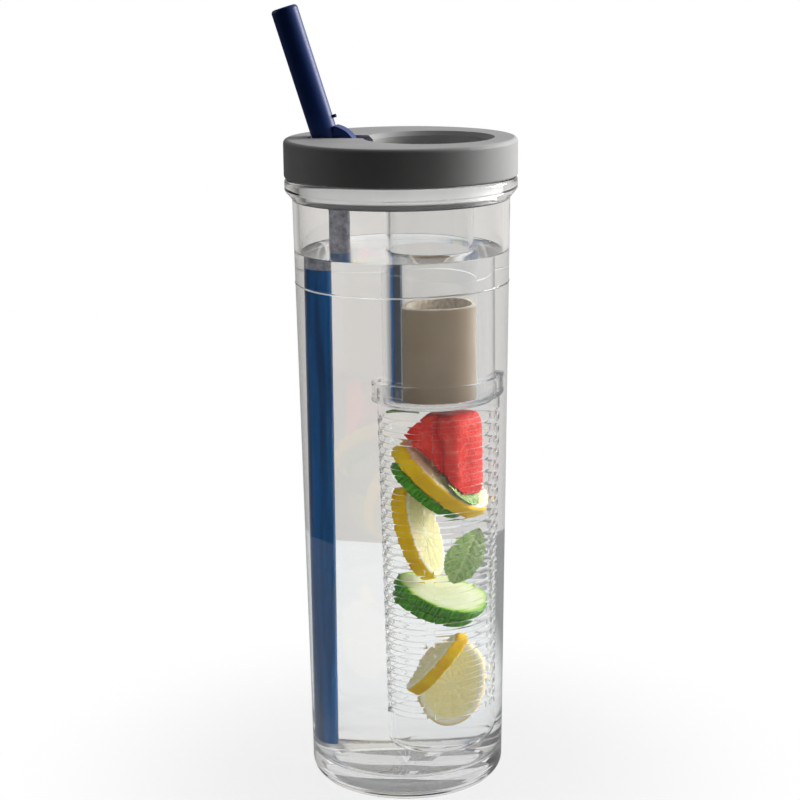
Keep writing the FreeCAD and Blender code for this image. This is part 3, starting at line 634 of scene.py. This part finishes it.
full = np.clip(np.hypot(ring_share[:, None], post_share[None]), 0, 1) * HALF_WALL
wall_middle = basket_middle(wall_rows)[:, None]
foot_outline = rounded([
    (0, basket_low.z, 0),
    (basket_middle(basket_low.z) + HALF_WALL, basket_low.z, BASKET_ROUND),
    (basket_middle(wall_rows[0]) + HALF_WALL, wall_rows[0] - SMALL_ROUND, 0),
])
lining_floor = basket_low.z + BASKET_WALL
lining = rounded([
    (basket_middle(wall_rows[0]) - HALF_WALL, wall_rows[0] - SMALL_ROUND, 0),
    (basket_middle(lining_floor) - HALF_WALL, lining_floor, BASKET_ROUND - BASKET_WALL),
    (0, lining_floor, 0),
])
rim_outline = rounded([
    (basket_middle(wall_rows[-1]) + HALF_WALL, wall_rows[-1] + SMALL_ROUND, 0),
    (BASKET_TOP_RADIUS, basket_high.z, 2 * SMALL_ROUND),
    (BASKET_TOP_RADIUS - BASKET_WALL, basket_high.z, 2 * SMALL_ROUND),
    (basket_middle(wall_rows[-1]) - HALF_WALL, wall_rows[-1] + SMALL_ROUND, 0),
])
plain = np.ones((1, len(angles)))
radius_rows = np.concatenate([foot_outline[:, :1] * plain, wall_middle + full, rim_outline[:, :1] * plain,
                              (wall_middle - full)[::-1], lining[:, :1] * plain])
height_rows = np.concatenate([foot_outline[:, 1], wall_rows, rim_outline[:, 1],
                              wall_rows[::-1], lining[:, 1]])
x = WELL_AXIS[0] + radius_rows * np.cos(angles)
y = WELL_AXIS[1] + radius_rows * np.sin(angles)
points = np.stack([x, y, np.broadcast_to(height_rows[:, None], x.shape)], axis=-1)
faces = grid_faces(len(radius_rows), len(angles))
row_between = (height_rows[1:] + height_rows[:-1]) / 2
angle_between = angles + np.diff(np.append(angles, 2 * np.pi + angles[0])) / 2
off_post = np.abs((angle_between + sector / 2) % sector - sector / 2) > post_angle
is_slot = (off_slots(row_between) < 0)[:, None] & off_post[None]
inner = full / HALF_WALL
inside = np.concatenate([plain.repeat(len(foot_outline), 0), inner, plain.repeat(len(rim_outline), 0),
                         inner[::-1], plain.repeat(len(lining), 0)])
# Painted highlight: slot edges are whitest at the sides of the basket as the camera sees it.
side_highlight = np.cos(angles - VIEW_TURN) ** 2
flat = np.stack([inside, np.broadcast_to(side_highlight, inside.shape)], axis=-1)
add_piece("basket_cup", points, faces[~is_slot], CLEAR_BASKET, "basket",
          ["infuser_basket"], flat)

# %% [markdown]
# The pale loops that the edges of the slots draw at the sides of the basket are a painted highlight.
# The flat map of the basket says how full the wall is at a point and how far the point lies to the
# side of the camera's view. Both together choose how much of a pale plastic with a soft gloss is
# mixed into the clear one.

# %% Slot edges
EDGE_HIGHLIGHT_SHARE = 0.55


def flat_parts(tree):
    """The two values of a piece's own flat map."""
    chart = add_node(tree, "UVMap", uv_map="flat").outputs[0]
    return split(tree, chart)


def paint_edge_highlights(tree):
    """Paint highlights where the basket's wall thins out at a slot, by mixing a pale plastic into the clear
    one.
    """
    fullness, highlight_side = flat_parts(tree)[:2]
    place = ramp(tree, fullness, [(0.25, 1), (0.95, 0)])
    level = ramp(tree, highlight_side, [(0.3, 0.08), (1.0, EDGE_HIGHLIGHT_SHARE)])
    sockets = {"Base Color": (0.92, 0.93, 0.93, 1), "Roughness": 0.3}
    edge_highlight_white = add_node(tree, "BsdfPrincipled", sockets)
    mix_in(tree, times(tree, place, level), edge_highlight_white.outputs[0])


paint_edge_highlights(CLEAR_BASKET.node_tree)
print("slot edges:", SLOT_ROWS, "rows between", POSTS, "posts")

# %% [markdown]
# Slices of lemon and cucumber are oval, a little uneven, with soft rims. A slice is a grid of rings
# and angles: a half section runs from the middle of the upper face over the rim to the middle of the
# lower face. The UV map of a slice holds its flat picture, from -1 to 1 across, so the finishes can
# draw rind, pith and segments in polar terms.

# %% Slice shape
FRUIT_GAP = 0.4 * MM
RIM_ROUND_SHARE = 0.22
SLICE_ROWS, SLICE_COLUMNS = 72, 120
PULP_CORE, CORE_FADE = 0.08, 0.1
PULP_EDGE, EDGE_FADE = 0.84, 0.08


def basket_room(height):
    """Inner radius of the basket at a height, less the gap round the fruit."""
    return basket_middle(height) - HALF_WALL - FRUIT_GAP


def turned(x, y, angle):
    """Turn flat coordinates by an angle."""
    return x * math.cos(angle) - y * math.sin(angle), x * math.sin(angle) + y * math.cos(angle)


def leaned(place, x, y, z, tilt_degrees, swing_degrees):
    """Tilt points about Y, swing them about Z, and set them on a place."""
    z, x = turned(z, x, math.radians(tilt_degrees))
    x, y = turned(x, y, math.radians(swing_degrees))
    return np.stack(np.broadcast_arrays(x, y, z), axis=-1) + place


def slice_piece(name, tilt, swing, length_share, width_share, thick, material, slot, cells=0, groove=0.0,
                uneven=0.015, turn=0.0):
    """A fruit slice in the place of a CAD slice.

    Half its length and half its width are shares of the room in the basket. A point at share q and
    angle a lies at q * (length * cos a, width * sin a), with its height from a rounded half section.
    The outline wobbles by uneven, and thin grooves part the cells.
    """
    place = middle(name)
    length, width = length_share * basket_room(place[2]), width_share * basket_room(place[2])
    rim_round = RIM_ROUND_SHARE * thick
    outline = rounded([(0, thick / 2, 0), (width, thick / 2, rim_round), (width, -thick / 2, rim_round),
                       (0, -thick / 2, 0)])
    reach = np.concatenate([[0], np.cumsum(np.linalg.norm(np.diff(outline, axis=0), axis=1))])
    steps = np.linspace(0, reach[-1], SLICE_ROWS)
    share = np.interp(steps, reach, outline[:, 0])[:, None] / width
    height = np.interp(steps, reach, outline[:, 1])[:, None]
    around = round_angles(SLICE_COLUMNS)
    wobble = 1 - uneven + uneven * (np.sin(2 * around + turn) + 0.5 * np.sin(5 * around + 2 * turn)) / 1.5
    x = share * length * wobble * np.cos(around)
    y = share * width * wobble * np.sin(around)
    if cells:
        inner = np.clip((PULP_EDGE - share) / EDGE_FADE, 0, 1)
        inner = inner * np.clip((share - PULP_CORE) / CORE_FADE, 0, 1)
        pulp = np.abs(np.sin(cells * (around + turn) / 2)) ** 0.4
        height = height - np.sign(height) * groove * inner * (1 - pulp)
    points = leaned(place, x, y, height, tilt, swing)
    flat = np.stack([share * np.cos(around + turn), share * np.sin(around + turn)], axis=-1)
    add_piece(f"{name}_slice", points, grid_faces(SLICE_ROWS, SLICE_COLUMNS), material, "basket",
              [name], flat)


# %% [markdown]
# Lemon: an oily yellow rind with fine pores, a white pith, and pale pulp in ten segments with thin
# walls between them. All of it is drawn on the slice's own flat map.

# %% Lemon finish
LEMON_CELLS = 10


def polar(tree):
    """Distance from the middle of a slice and angle round it, from its flat map."""
    flat = add_node(tree, "UVMap", uv_map="flat").outputs[0]
    away = length_of(tree, flat)
    part = split(tree, flat)
    return flat, away, sums(tree, "ARCTAN2", part[1], part[0])


def lemon_finish(name, pulp_dark, pulp_light, wall_share, rind_share):
    """Rind, pith, segment walls and juicy pulp; the shares say how strongly walls and rind show."""
    material, tree, shader = new_flesh(name, 0.08, 0.12, 2.0 * MM)
    flat, away, round_angle = polar(tree)
    pulp_grain = noise(tree, 14, 2.0, flat)
    pulp = spread(tree, pulp_grain, pulp_dark, pulp_light)
    wall = sums(tree, "ABSOLUTE", sums(tree, "SINE", times(tree, round_angle, LEMON_CELLS / 2)))
    wall = times(tree, wall, away)
    walls = ramp(tree, wall, [(0.03, wall_share), (0.12, 0)])
    pith_colour = (0.92, 0.88, 0.68, 1)
    inside = blend(tree, walls, pulp, pith_colour)
    pith = ramp(tree, away, [(0.80, 0), (0.85, 1)])
    face = blend(tree, pith, inside, pith_colour)
    pores = noise(tree, 900, 2.0)
    rind_patches = noise(tree, 160, 3.0)
    rind_colour = spread(tree, rind_patches, (0.80, 0.45, 0.001), (0.88, 0.60, 0.004))
    rind = ramp(tree, away, [(0.925, 0), (0.955, rind_share)])
    colour = blend(tree, rind, face, rind_colour)
    plug_in(tree, shader, Base_Color=colour,
            Roughness=ramp(tree, pores, [(0.2, 0.28), (0.8, 0.45)]),
            Normal=bumps(tree, sums(tree, "ADD", pores, pulp_grain), 0.4, 0.2 * MM))
    return material


LEMON = lemon_finish("lemon_flesh", (0.84, 0.74, 0.30), (0.90, 0.84, 0.52), 0.8, 1.0)
PALE_LEMON = lemon_finish("lemon_flesh_pale", (0.89, 0.77, 0.33), (0.93, 0.85, 0.47), 0.25, 0.4)
LEMON_LOOK = {"material": LEMON, "slot": "lemon", "cells": LEMON_CELLS, "groove": 0.3 * MM}
PALE_LOOK = {"material": PALE_LEMON, "slot": "lemon", "cells": LEMON_CELLS, "groove": 0.1 * MM}
THICK_SLICE, THIN_SLICE = 5.2 * MM, 5.0 * MM
UPPER_TILT = 47
slice_piece("lemon_upper", UPPER_TILT, 0, 1.20, 0.93, THICK_SLICE, **LEMON_LOOK, turn=0.3)
slice_piece("lemon_steep", 76, -15, 1.22, 0.59, THICK_SLICE, **LEMON_LOOK, turn=1.1)
slice_piece("lemon_lower", -52, 25, 0.94, 0.41, THIN_SLICE, **LEMON_LOOK, turn=0.7)
slice_piece("lemon_floor", 82, -72, 1.22, 0.75, THIN_SLICE, **PALE_LOOK, uneven=0.03, turn=1.9)

# %% [markdown]
# Cucumber: dark green skin with paler streaks, flesh that fades from green at the skin to nearly
# white, and a middle with rings of pale seeds.

# %% Cucumber finish


def cucumber_finish():
    """Streaked skin, pale flesh and a seedy middle."""
    material, tree, shader = new_flesh("cucumber_flesh", 0.08)
    flat, away, round_angle = polar(tree)
    flesh = ramp(tree, away, [(0.0, (0.60, 0.64, 0.39)), (0.45, (0.65, 0.69, 0.45)),
                              (0.62, (0.70, 0.73, 0.54)), (0.86, (0.62, 0.70, 0.35)),
                              (0.93, (0.31, 0.57, 0.065))])
    seeds = times(tree, sums(tree, "SINE", times(tree, round_angle, 18.0)),
                 sums(tree, "SINE", times(tree, away, 7.5)))
    seed_mask = ramp(tree, seeds, [(0.55, 0), (0.8, 0.6)])
    near = ramp(tree, away, [(0.12, 0), (0.3, 1), (0.5, 1), (0.6, 0)])
    seeded = blend(tree, times(tree, seed_mask, near), flesh, (0.86, 0.84, 0.55, 1))
    stretched = add_node(tree, "Mapping", {"Vector": flat, "Scale": (3, 3, 1)}).outputs[0]
    streak = noise(tree, 9, 2.0, stretched)
    skin_colour = ramp(tree, streak, [(0.35, (0.013, 0.11, 0.003)), (0.62, (0.095, 0.38, 0.010))])
    skin = ramp(tree, away, [(0.945, 0), (0.975, 1)])
    plug_in(tree, shader, Base_Color=blend(tree, skin, seeded, skin_colour),
            Roughness=spread(tree, streak, 0.22, 0.4),
            Normal=bumps(tree, noise(tree, 500, 2.0), 0.3, 0.15 * MM))
    return material


CUCUMBER = cucumber_finish()
CUCUMBER_LOOK = {"thick": 3.5 * MM, "material": CUCUMBER, "slot": "cucumber"}
slice_piece("cucumber_upper", UPPER_TILT, 0, 0.92, 0.89, **CUCUMBER_LOOK, turn=0.5)
slice_piece("cucumber_middle", 28, -15, 1.02, 0.93, **CUCUMBER_LOOK, turn=1.3)
slice_piece("cucumber_under", 28, -15, 0.92, 0.87, **CUCUMBER_LOOK, turn=2.4)

# %% [markdown]
# The watermelon chunk is a hand-cut block with one edge to the front: flat faces, soft edges and a
# grainy, wet surface. A sphere of directions is pushed out to a rounded block, which is swung round,
# and then two planes press it flat: the lemon slice that carries it, and a cut across its upper left.

# %% Watermelon
MELON_ROWS, MELON_COLUMNS = 160, 240
MELON_POWER = 0.3
MELON_SIDE_POWER = 5.0
MELON_LENGTH_SHARE = 0.70
MELON_DEPTH_SHARE = 0.51
MELON_SIDE_SHARE = 0.06
MELON_SWING = -25
MELON_FOOT_SHARE = 0.72
MELON_SHOULDER = 0.80
CREASE_PLACE = 4.5 * MM
CREASE_LEAN = -0.15
CREASE_HALF = 1.6 * MM
CREASE_SHARE = 0.2
CREASE_WAVE = 0.6 * MM
CREASE_WAVES_PER_MM = 0.45
REST_GAP = 4.6 * MM


def melon_finish():
    """Red, grainy flesh with patches of tone, and painted glints: pale speckles on the grain."""
    material, tree, shader = new_flesh("watermelon_flesh", 0.12)
    grain = noise(tree, 480, 4.0, roughness=0.75)
    patches = noise(tree, 110, 3.0)
    base = ramp(tree, patches, [(0.3, (0.72, 0.020, 0.012)), (0.5, (0.84, 0.04, 0.025)),
                                (0.72, (0.87, 0.10, 0.06))])
    deep = flat_parts(tree)[0]
    base = blend(tree, deep, base, (0.62, 0.006, 0.006, 1))
    # Painted highlight: pale speckles on the grain stand in for glints on the wet flesh.
    sparkle = ramp(tree, grain, [(0.54, 0), (0.70, 0.28)])
    plug_in(tree, shader, Base_Color=blend(tree, sparkle, base, (0.92, 0.46, 0.38, 1)),
            Roughness=spread(tree, grain, 0.5, 0.22),
            Normal=bumps(tree, grain, 0.9, 0.7 * MM))
    return material


def push(value):
    """Raise a cosine or sine to a power below one, keeping its sign: it flattens a sphere's sides."""
    return np.sign(value) * np.abs(value) ** MELON_POWER


def pressed(points, normal, limit):
    """Press points flat that lie past a plane, given by its outward normal and its distance."""
    normal = np.array(normal) / np.linalg.norm(normal)
    past = np.maximum(points @ normal - limit, 0)
    return points - past[..., None] * normal


melon_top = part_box("watermelon_chunk")[1].z
melon_foot = basket_low.z + MELON_FOOT_SHARE * (basket_high.z - basket_low.z)
melon_half = (melon_top - melon_foot) / 2
melon_room = basket_room(melon_foot + melon_half)
melon_place = np.array([*WELL_AXIS, melon_foot + melon_half]) + (MELON_SIDE_SHARE * melon_room, 0, 0)
upward = np.linspace(-np.pi / 2, np.pi / 2, MELON_ROWS)[:, None]
around = round_angles(MELON_COLUMNS)
square = (np.abs(np.cos(around)) ** MELON_SIDE_POWER + np.abs(np.sin(around)) ** MELON_SIDE_POWER)
lumps = 0.975 + 0.015 * np.sin(3 * around + 4 * upward) + 0.01 * np.sin(7 * around - 5 * upward)
side = melon_room * lumps * square ** (-1 / MELON_SIDE_POWER) * push(np.cos(upward))
x = MELON_LENGTH_SHARE * side * np.cos(around)
y = MELON_DEPTH_SHARE * side * np.sin(around)
z = melon_half * push(np.sin(upward))
crease = CREASE_PLACE + CREASE_LEAN * z + CREASE_WAVE * np.sin(z / MM * CREASE_WAVES_PER_MM)
crease = np.exp(-((x - crease) / CREASE_HALF) ** 2) * (y < 0)
y = y * (1 - CREASE_SHARE * crease)
points = leaned(0.0, x, y, z, 0, MELON_SWING)
rest_tilt = math.radians(UPPER_TILT)
rest_normal = np.array([math.sin(rest_tilt), 0, math.cos(rest_tilt)])
points = pressed(points, -rest_normal, (melon_place - middle("lemon_upper")) @ rest_normal - REST_GAP)
points = pressed(points, (-1, 0.1, 0.9), MELON_SHOULDER * melon_half)
flat = np.stack([crease, 0 * crease], axis=-1)
add_piece("watermelon_block", points + melon_place, grid_faces(MELON_ROWS, MELON_COLUMNS), melon_finish(),
          "basket", ["watermelon_chunk"], flat)

# %% [markdown]
# A mint leaf is a thin flattened tube along its midrib: its width follows the outline of the leaf
# with saw teeth, side veins stand in rows, and the whole leaf curls. Its flat map runs along and
# across the leaf so that the finish can colour the veins.

# %% Mint
VEIN_SLANT = 0.45
VEIN_RATE = 14.0


def mint_finish():
    """Deep green with paler veins and a quilted surface between them."""
    material, tree, shader = new_flesh("mint_leaf", 0.15)
    lengthwise, across = flat_parts(tree)[:2]
    off_rib = sums(tree, "ABSOLUTE", across)
    along = sums(tree, "SUBTRACT", lengthwise, times(tree, off_rib, VEIN_SLANT))
    rows = sums(tree, "ABSOLUTE", sums(tree, "SINE", times(tree, along, VEIN_RATE)))
    side = ramp(tree, rows, [(0.05, 1), (0.28, 0)])
    rib = ramp(tree, off_rib, [(0.03, 1), (0.09, 0)])
    veins = sums(tree, "MAXIMUM", side, rib)
    web = noise(tree, 900, 2.0)
    blade = spread(tree, web, (0.19, 0.37, 0.065), (0.50, 0.67, 0.28))
    vein_share = times(tree, veins, 0.75)
    plug_in(tree, shader, Base_Color=blend(tree, vein_share, blade, (0.60, 0.72, 0.36, 1)),
            Roughness=spread(tree, web, 0.35, 0.55),
            Normal=bumps(tree, sums(tree, "SUBTRACT", web, veins), 0.5, 0.25 * MM))
    return material


LEAF_ROWS, LEAF_COLUMNS = 90, 96
LEAF_THICK = 0.35 * MM
QUILT_RISE = 0.35 * MM
RIB_DEPTH = 0.3 * MM
LEAF_TEETH = 9
TOOTH_SHARE = 0.10
TIP_SHARE = 0.15
DROOP_SHARE = 0.10
CURL_SHARE = 0.12


def leaf_piece(name, tilt, swing, length, width, roll=0.0):
    """A mint leaf at the middle of its CAD node, rolled in its own plane and then leaned.

    u runs along the leaf from -1 to 1 and b goes round its thin section. Half the width at u is
    width * (1 - u squared) ** 0.75, cut by saw teeth; a point lies at u * length along, cos b times
    that width across, and sin b times the thickness up, plus veins and curl.
    """
    u = np.sin(np.linspace(-np.pi / 2, np.pi / 2, LEAF_ROWS))[:, None]
    b = round_angles(LEAF_COLUMNS)
    across = np.cos(b) + 0 * u
    teeth = 1 - TOOTH_SHARE * (np.abs(across) ** 6) * ((u * LEAF_TEETH) % 1.0)
    half_width = width * (1 - u ** 2) ** 0.75 * (1 + TIP_SHARE * u) * teeth
    thick = LEAF_THICK * (1 - u ** 2) ** 0.5
    x = u * length + 0 * across
    y = across * half_width
    quilt = np.abs(np.sin(VEIN_RATE * (u - VEIN_SLANT * np.abs(across)))) ** 0.5 * (1 - np.abs(across) ** 4)
    relief = QUILT_RISE * quilt * (1 - u ** 2) - RIB_DEPTH * np.exp(-(across / 0.08) ** 2)
    z = np.sin(b) * thick + relief + CURL_SHARE * width * (across ** 2 - 0.5) - DROOP_SHARE * length * u ** 2
    x, y = turned(x, y, roll)
    points = leaned(middle(name), x, y, z, tilt, swing)
    flat = np.stack([u + 0 * across, across], axis=-1)
    add_piece(f"{name}_leaf", points, grid_faces(LEAF_ROWS, LEAF_COLUMNS), MINT, "basket",
              [name], flat)


MINT = mint_finish()
leaf_piece("mint_top", 0, 0, 4.6 * MM, 3.3 * MM)
leaf_piece("mint_pressed", UPPER_TILT, 0, 8.3 * MM, 8.1 * MM)
leaf_piece("mint_standing", 72, -68, 10.5 * MM, 6.2 * MM, roll=-0.4)

# %% [markdown]
# The lid is matte grey plastic with the fine grain of a textured mould, and its upward faces are
# painted paler, as if lit from above; its core, in the mouth, is much darker. The spout and straw
# are blue: the spout is matte and deep, the straw glossier. The straw's top, above the water, is a
# frosted grey sleeve. The insert cup is taupe, with painted light on its top: it is cream inside and
# on its rim.

# %% Lid, spout, straw and insert finishes


def grained_finish(name, dark, light, roughness, grain_scale, grain_depth, specular=0.4, top=1.0):
    """Moulded plastic: slow shifts of colour, and the fine grain of a textured mould.

    top is how much paler the faces are that look up: painted light, as if they were lit from above.
    """
    material, tree, shader = new_finish(name, Specular_IOR_Level=specular)
    cloud = noise(tree, 45, 3.0)
    grain = noise(tree, grain_scale, 2.0)
    upward = split(tree, coordinates(tree, "Normal"))[2]
    # Painted light: faces that look up take a paler copy of the colour, as if lit from above.
    lit_top_share = ramp(tree, upward, [(0.35, 0), (0.95, 1)], "EASE")
    side = spread(tree, cloud, dark, light)
    pale = spread(tree, cloud, [top * part for part in dark], [top * part for part in light])
    low, high = roughness
    plug_in(tree, shader, Base_Color=blend(tree, lit_top_share, side, pale),
            Roughness=spread(tree, grain, low, high),
            Normal=bumps(tree, grain, 0.35, grain_depth))
    return material


GRAIN_DEPTH = 0.05 * MM
# The lid's upward faces get painted light: they are a quarter paler.
GREY_LID = grained_finish("grey_lid", (0.46, 0.455, 0.45), (0.52, 0.515, 0.51), (0.5, 0.62), 2600,
                          GRAIN_DEPTH, 0.2, top=1.25)
GREY_CORE = grained_finish("grey_core", (0.10, 0.098, 0.096), (0.13, 0.128, 0.126), (0.45, 0.6), 2600,
                           GRAIN_DEPTH)
BLUE_SPOUT = grained_finish("blue_spout", (0.010, 0.040, 0.20), (0.014, 0.052, 0.26), (0.34, 0.46), 2200,
                            GRAIN_DEPTH, 0.3)
SILICONE = grained_finish("silicone", (0.62, 0.62, 0.60), (0.70, 0.70, 0.68), (0.35, 0.5), 1500, 0.03 * MM)
SLEEVE_DIP = 6.0 * MM
INSERT_SKIN = 0.8 * MM
INSERT_RIM = 0.3 * MM


def straw_finish():
    """Glossy blue tube with a frosted grey sleeve that dips a little into the water."""
    material, tree, shader = new_finish("blue_straw", Specular_IOR_Level=0.25)
    where = coordinates(tree)
    height = split(tree, where)[2]
    sleeve = sums(tree, "GREATER_THAN", height, WATER_LEVEL - SLEEVE_DIP)
    long_grain = add_node(tree, "Mapping", {"Vector": where, "Scale": (1, 1, 0.05)}).outputs[0]
    streak = noise(tree, 300, 3.0, long_grain)
    scuffs = noise(tree, 330, 4.0, roughness=0.7)
    blue = ramp(tree, streak, [(0.35, (0.001, 0.036, 0.12)), (0.65, (0.003, 0.105, 0.31))])
    frosted = ramp(tree, scuffs, [(0.35, (0.15, 0.15, 0.17)), (0.65, (0.36, 0.36, 0.40))])
    plug_in(tree, shader, Base_Color=blend(tree, sleeve, blue, frosted),
            Roughness=spread(tree, scuffs, 0.12, 0.24),
            Normal=bumps(tree, scuffs, 0.15, 0.05 * MM))
    return material


def insert_finish():
    """Taupe outside; cream inside and on the rim, painted light that makes the top look lit from above."""
    material, tree, shader = new_finish("taupe_insert", Specular_IOR_Level=0.3)
    insert_low, insert_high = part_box("insert_cup")
    away, height = about_axis(tree, WELL_AXIS)
    skin_radius = (insert_high.x - insert_low.x) / 2 - INSERT_SKIN
    outside = times(tree, sums(tree, "GREATER_THAN", away, skin_radius),
                   sums(tree, "LESS_THAN", height, insert_high.z - INSERT_RIM))
    cloud = noise(tree, 60, 3.0)
    taupe = spread(tree, cloud, (0.43, 0.32, 0.21), (0.51, 0.39, 0.265))
    # Painted light: cream inside and on the rim, so that the insert's top looks lit from above.
    cream = ramp(tree, noise(tree, 600, 3.0), [(0.35, (0.55, 0.46, 0.35)), (0.65, (0.76, 0.68, 0.55))])
    plug_in(tree, shader, Base_Color=blend(tree, outside, cream, taupe),
            Roughness=spread(tree, cloud, 0.5, 0.65),
            Normal=bumps(tree, noise(tree, 1800, 2.0), 0.3, 0.05 * MM))
    return material


dress("lid_shell", GREY_LID)
dress("lid_core", GREY_CORE)
dress("flip_spout", BLUE_SPOUT)
dress("straw_tube", straw_finish())
dress("insert_cup", insert_finish())
for name in ("lid_gasket", "vent_valve", "pivot_washers", "stem_seal"):
    dress(name, SILICONE)
print("dressed: lid, core, spout, straw, insert and four silicone parts")

# %% [markdown]
# The floor is a pale table top that ends about 30 cm behind the bottle, so the lower part of the
# water shows it and the upper part shows the wall of the room. To the camera it is white, and less
# so near the bottle, where its shadow stays. Through the water it is white behind the bottle, but
# not far to its left.

# %% Floor
FLOOR_RADIUS = 312.0 * MM
FLOOR_EDGE = 6.0 * MM
FLOOR_BEHIND = (-60.0 * MM, 0.0)
FLOOR_BESIDE = (-100.0 * MM, -50.0 * MM)


def front_turned(tree, kind):
    """Coordinates of a kind, turned so that +Y points straight away from the camera's stand."""
    sockets = {"Vector": coordinates(tree, kind), "Angle": -VIEW_TURN}
    return add_node(tree, "VectorRotate", sockets, rotation_type="Z_AXIS").outputs[0]


def rise(tree, value, start, end):
    """A share that grows evenly from 0 to 1 between two levels of a value."""
    return add_node(tree, "MapRange", {0: value, 1: start, 2: end}).outputs[0]


def floor_finish():
    """Pale grey under the lamps, and white to the camera and through the water."""
    material, tree, shader = new_finish("pale_floor", Roughness=0.6, Specular_IOR_Level=0.2)
    plug_in(tree, shader, Base_Color=spread(tree, noise(tree, 6), 0.34, 0.37))
    away = length_of(tree, coordinates(tree))
    fade = ramp(tree, sums(tree, "DIVIDE", away, FLOOR_RADIUS), [(0.10, 0.82), (0.50, 1)], "EASE")
    part = split(tree, front_turned(tree, "Object"))
    behind = rise(tree, part[1], *FLOOR_BEHIND)
    beside = rise(tree, part[0], *FLOOR_BESIDE)
    ray = add_node(tree, "LightPath").outputs
    through = times(tree, ray["Is Transmission Ray"], times(tree, behind, beside))
    seen = sums(tree, "MAXIMUM", ray["Is Camera Ray"], through)
    white = add_node(tree, "Emission", {"Color": (1, 1, 1, 1), "Strength": 1.0})
    mix_in(tree, times(tree, seen, fade), white.outputs[0])
    return material


floor_outline = rounded([
    (0, 0, 0),
    (FLOOR_RADIUS, 0, FLOOR_EDGE / 3),
    (FLOOR_RADIUS, -FLOOR_EDGE, FLOOR_EDGE / 3),
    (0, -FLOOR_EDGE, 0),
])
points, faces = lathe(*floor_outline.T)
mesh = bpy.data.meshes.new("floor")
mesh.from_pydata(points.reshape(-1, 3).tolist(), [], faces.reshape(-1, 4).tolist())
mesh.materials.append(floor_finish())
floor = new_object("floor", mesh)
print("floor: radius", round(FLOOR_RADIUS / MM), "mm")

# %% [markdown]
# The light is soft: a large lamp behind on the right, a weak one on the left, and a room that is
# bright on the right and at the back. The lamps are so low that pale flesh hardly clips.

# %% Lamps
LAMP_AIM = (0, 0, 0.14)


def soft_lamp(name, place, size, watts):
    """A square soft lamp that the camera and the clear pieces don't see."""
    light = bpy.data.lights.new(name, "AREA")
    light.size = size
    light.energy = watts
    lamp = new_object(name, light)
    place, aim = STAGE @ Vector(place), STAGE @ Vector(LAMP_AIM)
    lamp.location = place
    lamp.rotation_euler = (aim - place).to_track_quat("-Z", "Y").to_euler()
    lamp.visible_camera = False
    lamp.visible_transmission = False


soft_lamp("key_right", (0.95, 0.40, 0.52), 0.5, 13.0)
soft_lamp("fill_left", (-0.9, 0.25, 0.5), 0.7, 1.0)

# %% [markdown]
# One even room would leave clear plastic without edges, so the room differs by the kind of ray.
# The camera sees plain white. Lamps aside, the solid pieces are lit by a room that is dark in front.
# Mirrors see a similar one. Through the water it is a warm pale wall, and light that was mirrored
# inside a clear wall finds darker sides, which keeps a grey veil off what stands in the water.
# Walls and water turn much of the room's light away from the fruit. Rays that leave the fruit find
# a brighter room, most of all in front, so that its colours come nearer to how they are written.

# %% Room
world = bpy.data.worlds.new("studio")
scene.world = world
world.use_nodes = True
sky = world.node_tree
backdrop = sky.nodes["Background"]
direction = front_turned(sky, "Generated")


def glow(level, slope, low, high):
    """Brightness that grows along a direction: level + slope times the view direction, within limits."""
    along = add_node(sky, "VectorMath", {0: direction, 1: slope}, operation="DOT_PRODUCT")
    value = sums(sky, "ADD", along.outputs["Value"], level)
    return sums(sky, "MINIMUM", sums(sky, "MAXIMUM", value, low), high)


side = split(sky, direction)
backward = sums(sky, "ADD", times(sky, side[1], 0.5), 0.5)
leftward = rise(sky, side[0], -0.35, -0.80)
seen_through = ramp(sky, backward, [(0.0, 0.50), (0.3, 0.50), (0.46, (0.58, 0.575, 0.57)),
                                    (0.62, (0.64, 0.625, 0.61)), (0.80, (0.74, 0.71, 0.68)),
                                    (1.0, (0.78, 0.75, 0.72))])
in_walls = ramp(sky, backward, [(0.3, 0.15), (0.46, 0.50), (0.62, (0.63, 0.62, 0.61)),
                                (1.0, (0.78, 0.75, 0.72))])
in_walls = blend(sky, leftward, in_walls, (0.06, 0.06, 0.06, 1))
inner_light = ramp(sky, backward, [(0.0, 1.80), (0.35, 1.50), (0.5, 0.95),
                                   (1.0, 0.80)])
mirrored = glow(0.22, (0.55, 0.30, 0.10), 0.03, 1.1)
lighting = glow(-0.22, (0.70, 0.55, 0.45), 0.003, 1.0)
ray = add_node(sky, "LightPath").outputs
is_guided = sums(sky, "GREATER_THAN", ray["Glossy Depth"], 0.5)
from_fruit = times(sky, ray["Is Transmission Ray"],
                  sums(sky, "GREATER_THAN", ray["Diffuse Depth"], 0.5))
mixed = blend(sky, ray["Is Glossy Ray"], lighting, mirrored)
passed_on = blend(sky, is_guided, seen_through, in_walls)
mixed = blend(sky, ray["Is Transmission Ray"], mixed, passed_on)
mixed = blend(sky, from_fruit, mixed, inner_light)
mixed = blend(sky, ray["Is Camera Ray"], mixed, (1, 1, 1, 1))
world.cycles.sampling_method = "NONE"
sky.links.new(mixed, backdrop.inputs["Color"])

scene.cycles.max_bounces = 32
scene.cycles.transparent_max_bounces = 24
scene.cycles.transmission_bounces = 32
scene.cycles.diffuse_bounces = 4
scene.cycles.glossy_bounces = 8
scene.view_settings.view_transform = "Standard"
print("room:", len(sky.nodes), "nodes")
